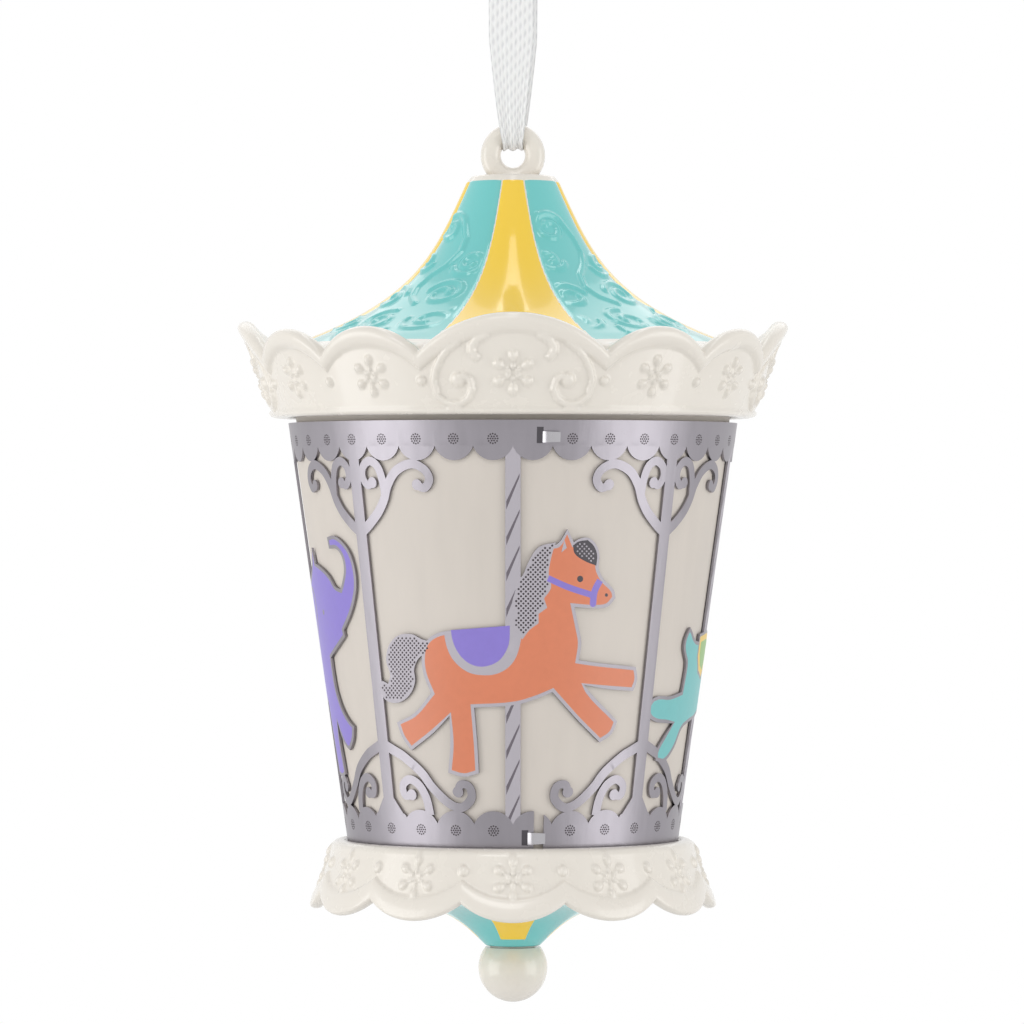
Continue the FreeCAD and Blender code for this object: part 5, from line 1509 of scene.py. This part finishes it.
flat_points, flat_faces = [], []
for points, slot in outlines:
    flat_faces.append(list(range(len(flat_points), len(flat_points) + len(points))))
    flat_points += [(flat_x(angle), z) for angle, z in points]
for i in range(int(2 * 180 / GRID_DEG) + 1):
    for k in range(int(WRAP_H / GRID_Z) + 1):
        angle = min(-180.0 + GRID_DEG * i + 0.5 * GRID_DEG * (k % 2), 180.0)
        flat_points.append((flat_x(angle), min(SEAT_Z + 0.4 + GRID_Z * k, WRAP_TOP_Z - 0.1)))
cut_edges = []
for angle in (-180.0, 180.0):
    cut_edges.append((len(flat_points), len(flat_points) + 1))
    flat_points += [(flat_x(angle), SEAT_Z - EDGE_REACH), (flat_x(angle), WRAP_TOP_Z + EDGE_REACH)]
print("drawn points:", len(flat_points))

# %% [markdown]
# A constrained triangulation keeps every outline as edges and tells for each triangle which outlines cover
# it. A triangle under no outline, past the ends or in the notch is left out, and the topmost outline names
# the finish of each other one.

# %% Triangles of the sheet
cdt = delaunay_2d_cdt(flat_points, cut_edges, flat_faces, 1, 1e-5)
cdt_points = np.array([tuple(p) for p in cdt[0]])
sheet_faces, sheet_slots = [], []
limit = flat_x(180.0)
slots_of = [slot for points, slot in outlines]
for corners, sources in zip(cdt[2], cdt[5]):
    if not sources or HOLE in [slots_of[k] for k in sources]:
        continue
    x, z = cdt_points[list(corners)].mean(axis=0)
    if abs(x) < limit and SEAT_Z < z < WRAP_TOP_Z:
        sheet_faces.append(list(corners))
        sheet_slots.append(slots_of[max(sources)])
print("sheet:", len(sheet_faces), "triangles")

# %% [markdown]
# To bend the drawing, a point's place along the sheet becomes an angle and its height gives the radius of the
# cone there. The outer skin is the drawing itself. A point that only etched triangles touch lies a little
# below the face. The inner skin is the same drawing one sheet thickness further in.

# %% Bending the sheet
ETCH_DEPTH = 0.08


def bend(points, depth):
    turn = points[:, 0] / FLAT_R
    radius = sheet_r(points[:, 1]) - depth
    return np.stack([radius * np.sin(turn), -radius * np.cos(turn), points[:, 1]], axis=1)


raised = np.zeros(len(cdt_points), dtype=bool)
for corners, slot in zip(sheet_faces, sheet_slots):
    if slot != ETCH:
        raised[corners] = True
skin = bend(cdt_points, np.where(raised, 0.0, ETCH_DEPTH))
back = bend(cdt_points, WRAP_THICK)
print("skin from", round(float(skin[:, 2].min()), 2), "to", round(float(skin[:, 2].max()), 2))

# %% [markdown]
# An edge that only one triangle uses is a rim of the sheet, and a wall joins the two skins there. At the
# back, where both ends of the drawing meet, there is no wall, because the two ends will be welded.

# %% Walls of the sheet
count = len(cdt_points)
edge_uses = {}
for corners in sheet_faces:
    for a, b in zip(corners, corners[1:] + corners[:1]):
        key = (min(a, b), max(a, b))
        edge_uses[key] = edge_uses.get(key, 0) + 1
faces = [list(c) for c in sheet_faces] + [[count + k for k in reversed(c)] for c in sheet_faces]
slots = list(sheet_slots) + [METAL] * len(sheet_faces)
at_end = np.abs(np.abs(cdt_points[:, 0]) - limit) < 1e-3
for (a, b), uses in edge_uses.items():
    if uses == 1 and not (at_end[a] and at_end[b]):
        faces.append([a, b, count + b, count + a])
        slots.append(METAL)
print("faces with walls:", len(faces))

# %% [markdown]
# The lists become a mesh, the two ends at the back are welded and loose points are dropped. Smooth shading
# would blur the rims of a thin sheet, so edges over 35 degrees are marked sharp.

# %% Etched wrap
SHARP = math.radians(35)
WELD = 0.00001
wrap = make_object("etched_wrap", np.concatenate([skin, back]), faces, FINISHES, slots, "carousel")
shape = bmesh.new()
shape.from_mesh(wrap.data)
bmesh.ops.remove_doubles(shape, verts=shape.verts, dist=WELD)
bmesh.ops.delete(shape, geom=[v for v in shape.verts if not v.link_faces], context="VERTS")
bmesh.ops.recalc_face_normals(shape, faces=shape.faces)
shape.to_mesh(wrap.data)
shape.free()
wrap.data.set_sharp_from_angle(angle=SHARP)
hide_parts("metal_wrap")
print("wrap:", len(wrap.data.polygons), "faces")

# %% [markdown]
# Two small tabs close the sheet: each comes out of a slot in one end and folds flat over the other. A tab is
# a short bar of sheet that rises at its root and narrows slightly to its tip. The upper one is longer round,
# the lower one taller.

# %% Folded tabs
TAB_STEPS = 10
TAB_LIFT = 0.42
TAB_TAPER = 0.12
TOP_TAB, LOW_TAB = (7.4, 11.7), (4.9, 10.6)
tab_points, tab_faces = [], []
for z_middle, (start, stop), half in ((WRAP_TOP_Z - 2.2, TOP_TAB, 0.72), (SEAT_Z + 1.6, LOW_TAB, 0.78)):
    first = len(tab_points)
    for i in range(TAB_STEPS + 1):
        s = i / TAB_STEPS
        turn = math.radians(start + (stop - start) * s)
        lift = TAB_LIFT * min(1.0, 4.0 * s)
        for z in (z_middle - half * (1.0 - TAB_TAPER * s), z_middle + half * (1.0 - TAB_TAPER * s)):
            for depth in (WRAP_THICK, 0.0):
                radius = sheet_r(z) + lift - depth
                tab_points.append((radius * math.sin(turn), -radius * math.cos(turn), z))
    for a in range(first, first + 4 * TAB_STEPS, 4):
        for p, q in ((0, 1), (1, 3), (3, 2), (2, 0)):
            tab_faces.append((a + p, a + q, a + 4 + q, a + 4 + p))
    last = first + 4 * TAB_STEPS
    tab_faces += [(first, first + 1, first + 3, first + 2), (last, last + 2, last + 3, last + 1)]
tabs = make_object("wrap_tabs", tab_points, tab_faces, [STEEL], body="carousel")
tabs.data.set_sharp_from_angle(angle=SHARP)
print("tabs:", len(tab_faces), "faces")

# %% [markdown]
# The drum is the plain cream wall that shows through the sheet. On the real one the sheet lies almost against
# it, with no daylight between them at the outline, so its face is turned to a hair behind the sheet. Its top
# keeps the CAD size, because there it runs in the mouth of the canopy.

# %% Drum casting
DRUM_GAP = 0.15
DRUM_WALL = 2.6
DRUM_STANDOFF = 0.8
DRUM_ROWS = 13
DRUM_TOP_Z = box_mm("drum")[1][2]
DRUM_NECK_Z = WRAP_TOP_Z - 0.6
DRUM_SWELL_Z = WRAP_TOP_Z - 1.6


def drum_row(z, gap):
    return sheet_r(z) - WRAP_THICK - gap, z


drum_rows = [drum_row(DRUM_TOP_Z, DRUM_STANDOFF), drum_row(DRUM_NECK_Z, DRUM_STANDOFF)]
for i in range(DRUM_ROWS):
    drum_rows.append(drum_row(DRUM_SWELL_Z + (SEAT_Z - DRUM_SWELL_Z) * i / (DRUM_ROWS - 1), DRUM_GAP))
for z in (SEAT_Z, DRUM_TOP_Z):
    drum_rows.append(drum_row(z, DRUM_STANDOFF + DRUM_WALL))
drum = spin_grid("drum_casting", drum_rows, [0] * len(drum_rows), [CREAM_GLAZE], "carousel", True)
drum.data.set_sharp_from_angle(angle=SHARP)
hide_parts("drum")
print("drum:", round(DRUM_TOP_Z - SEAT_Z, 2), "mm tall")

# %% [markdown]
# The ball and the works inside keep their CAD shapes, which are already the real ones. They only need
# finishes: brass for plates and wheels, steel for arbors and screws, blued steel for springs, and a moulded
# plastic for the bearings.

# %% Finishes of the works
NODES_BY_FINISH = [
    (WHITE_GLAZE, "ball_knob"),
    (STEEL, "top_plate pillar_screws_top pillar_screws_bottom disc_screws comb_screws click_stud comb "
            "winding_arbor ratchet_wheel cylinder_arbor cylinder_pinion idler_arbor idler_pinion fly_arbor "
            "fly_pinion"),
    (BRASS, "bedplate pillars comb_post spring_barrel barrel_cover pin_cylinder cylinder_wheel idler_wheel"),
    (BLUED_STEEL, "mainspring retaining_ring click click_spring"),
    (MOULDED_PLASTIC, "drive_disc base_bush thrust_washer"),
    (FAN_SHEET, "fly_fan"),
]
for material, names in NODES_BY_FINISH:
    for node in names.split():
        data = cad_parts[node].data
        data.materials.clear()
        data.materials.append(material)
print("finishes on", sum(len(names.split()) for material, names in NODES_BY_FINISH), "CAD nodes")

# %% [markdown]
# The piece hangs free over a plain pale floor. The floor is far enough below that the shiny sheet doesn't
# mirror it as a dark band, and only wide enough that its far edge stays out of the picture.

# %% Floor
FLOOR_Z = NECK_Z - 160.0
FLOOR_R = 450.0
FLOOR_SIDES = 64
floor_points = []
for i in range(FLOOR_SIDES):
    turn = 2 * math.pi * i / FLOOR_SIDES
    floor_points.append((FLOOR_R * math.cos(turn) * MM, FLOOR_R * math.sin(turn) * MM, FLOOR_Z * MM))
floor_mesh = bpy.data.meshes.new("floor")
floor_mesh.from_pydata(floor_points, [], [list(range(FLOOR_SIDES))])
floor = bpy.data.objects.new("floor", floor_mesh)
bpy.context.scene.collection.objects.link(floor)
floor_mesh.materials.append(finish("pale_floor", GLAZE_SKIN, seen(242, 242, 242), scale=30.0, tint=0.01,
                                   roughness=0.8, spread=0.05, bump=0.0))
print("floor", round(NECK_Z - FLOOR_Z), "mm below the base")

# %% [markdown]
# A catalogue picture has a pure white background. The world is white to the camera and in reflections, but
# lights the porcelain at only half that strength, so that pale surfaces keep their shading. Light Path tells
# the two kinds of ray apart.

# %% White surround
AMBIENT = 0.5
world = bpy.data.worlds.new("studio")
bpy.context.scene.world = world
world.use_nodes = True
world_tree = world.node_tree
world_tree.nodes.clear()
ray = add_node(world_tree, "ShaderNodeLightPath")
white = add_node(world_tree, "ShaderNodeBackground", {"Color": (1, 1, 1, 1), "Strength": 1.0})
ambient = add_node(world_tree, "ShaderNodeBackground", {"Color": (1, 1, 1, 1), "Strength": AMBIENT})
seen_rays = add_node(world_tree, "ShaderNodeMath", {"operation": "ADD"},
                     {0: ray.outputs["Is Camera Ray"], 1: ray.outputs["Is Transmission Ray"]})
shown_rays = add_node(world_tree, "ShaderNodeMath", {"operation": "ADD", "use_clamp": True},
                      {0: seen_rays.outputs[0], 1: ray.outputs["Is Glossy Ray"]})
mixed = add_node(world_tree, "ShaderNodeMixShader", None,
                 {0: shown_rays.outputs[0], 1: ambient.outputs[0], 2: white.outputs[0]})
add_node(world_tree, "ShaderNodeOutputWorld", None, {"Surface": mixed.outputs[0]})
print("surround:", AMBIENT, "as light, 1.0 as background")

# %% [markdown]
# Broad soft lamps stand at both sides and above the camera, as round a product table. The tall side lamps
# give the glaze its long upright highlights, a narrow one on top draws the bright line on the roof's stripes,
# and one behind lights the outline. Each lamp is turned towards the middle of the piece.

# %% Lamps
LAMPS = [
    ("left_lamp", (-640, -250, VIEW_MIDDLE - 60), (520, 640), 2.15),
    ("right_lamp", (620, -290, VIEW_MIDDLE - 60), (480, 640), 1.8),
    ("front_lamp", (-120, -780, VIEW_MIDDLE + 660), (420, 300), 1.45),
    ("top_lamp", (0, 40, VIEW_MIDDLE + 720), (90, 820), 0.6),
    ("back_lamp", (0, 620, VIEW_MIDDLE + 520), (760, 520), 0.7),
]
for name, stand, size, power in LAMPS:
    lamp = bpy.data.lights.new(name, "AREA")
    lamp.shape = "RECTANGLE"
    lamp.size, lamp.size_y = size[0] * MM, size[1] * MM
    lamp.energy = power
    holder = bpy.data.objects.new(name, lamp)
    holder.location = [c * MM for c in stand]
    aim = np.array([0.0, 0.0, VIEW_MIDDLE]) - np.array(stand)
    flat = math.hypot(aim[0], aim[1])
    holder.rotation_euler = (math.atan2(flat, -aim[2]), 0, math.atan2(-aim[0], aim[1]))
    bpy.context.scene.collection.objects.link(holder)
print(len(LAMPS), "lamps")
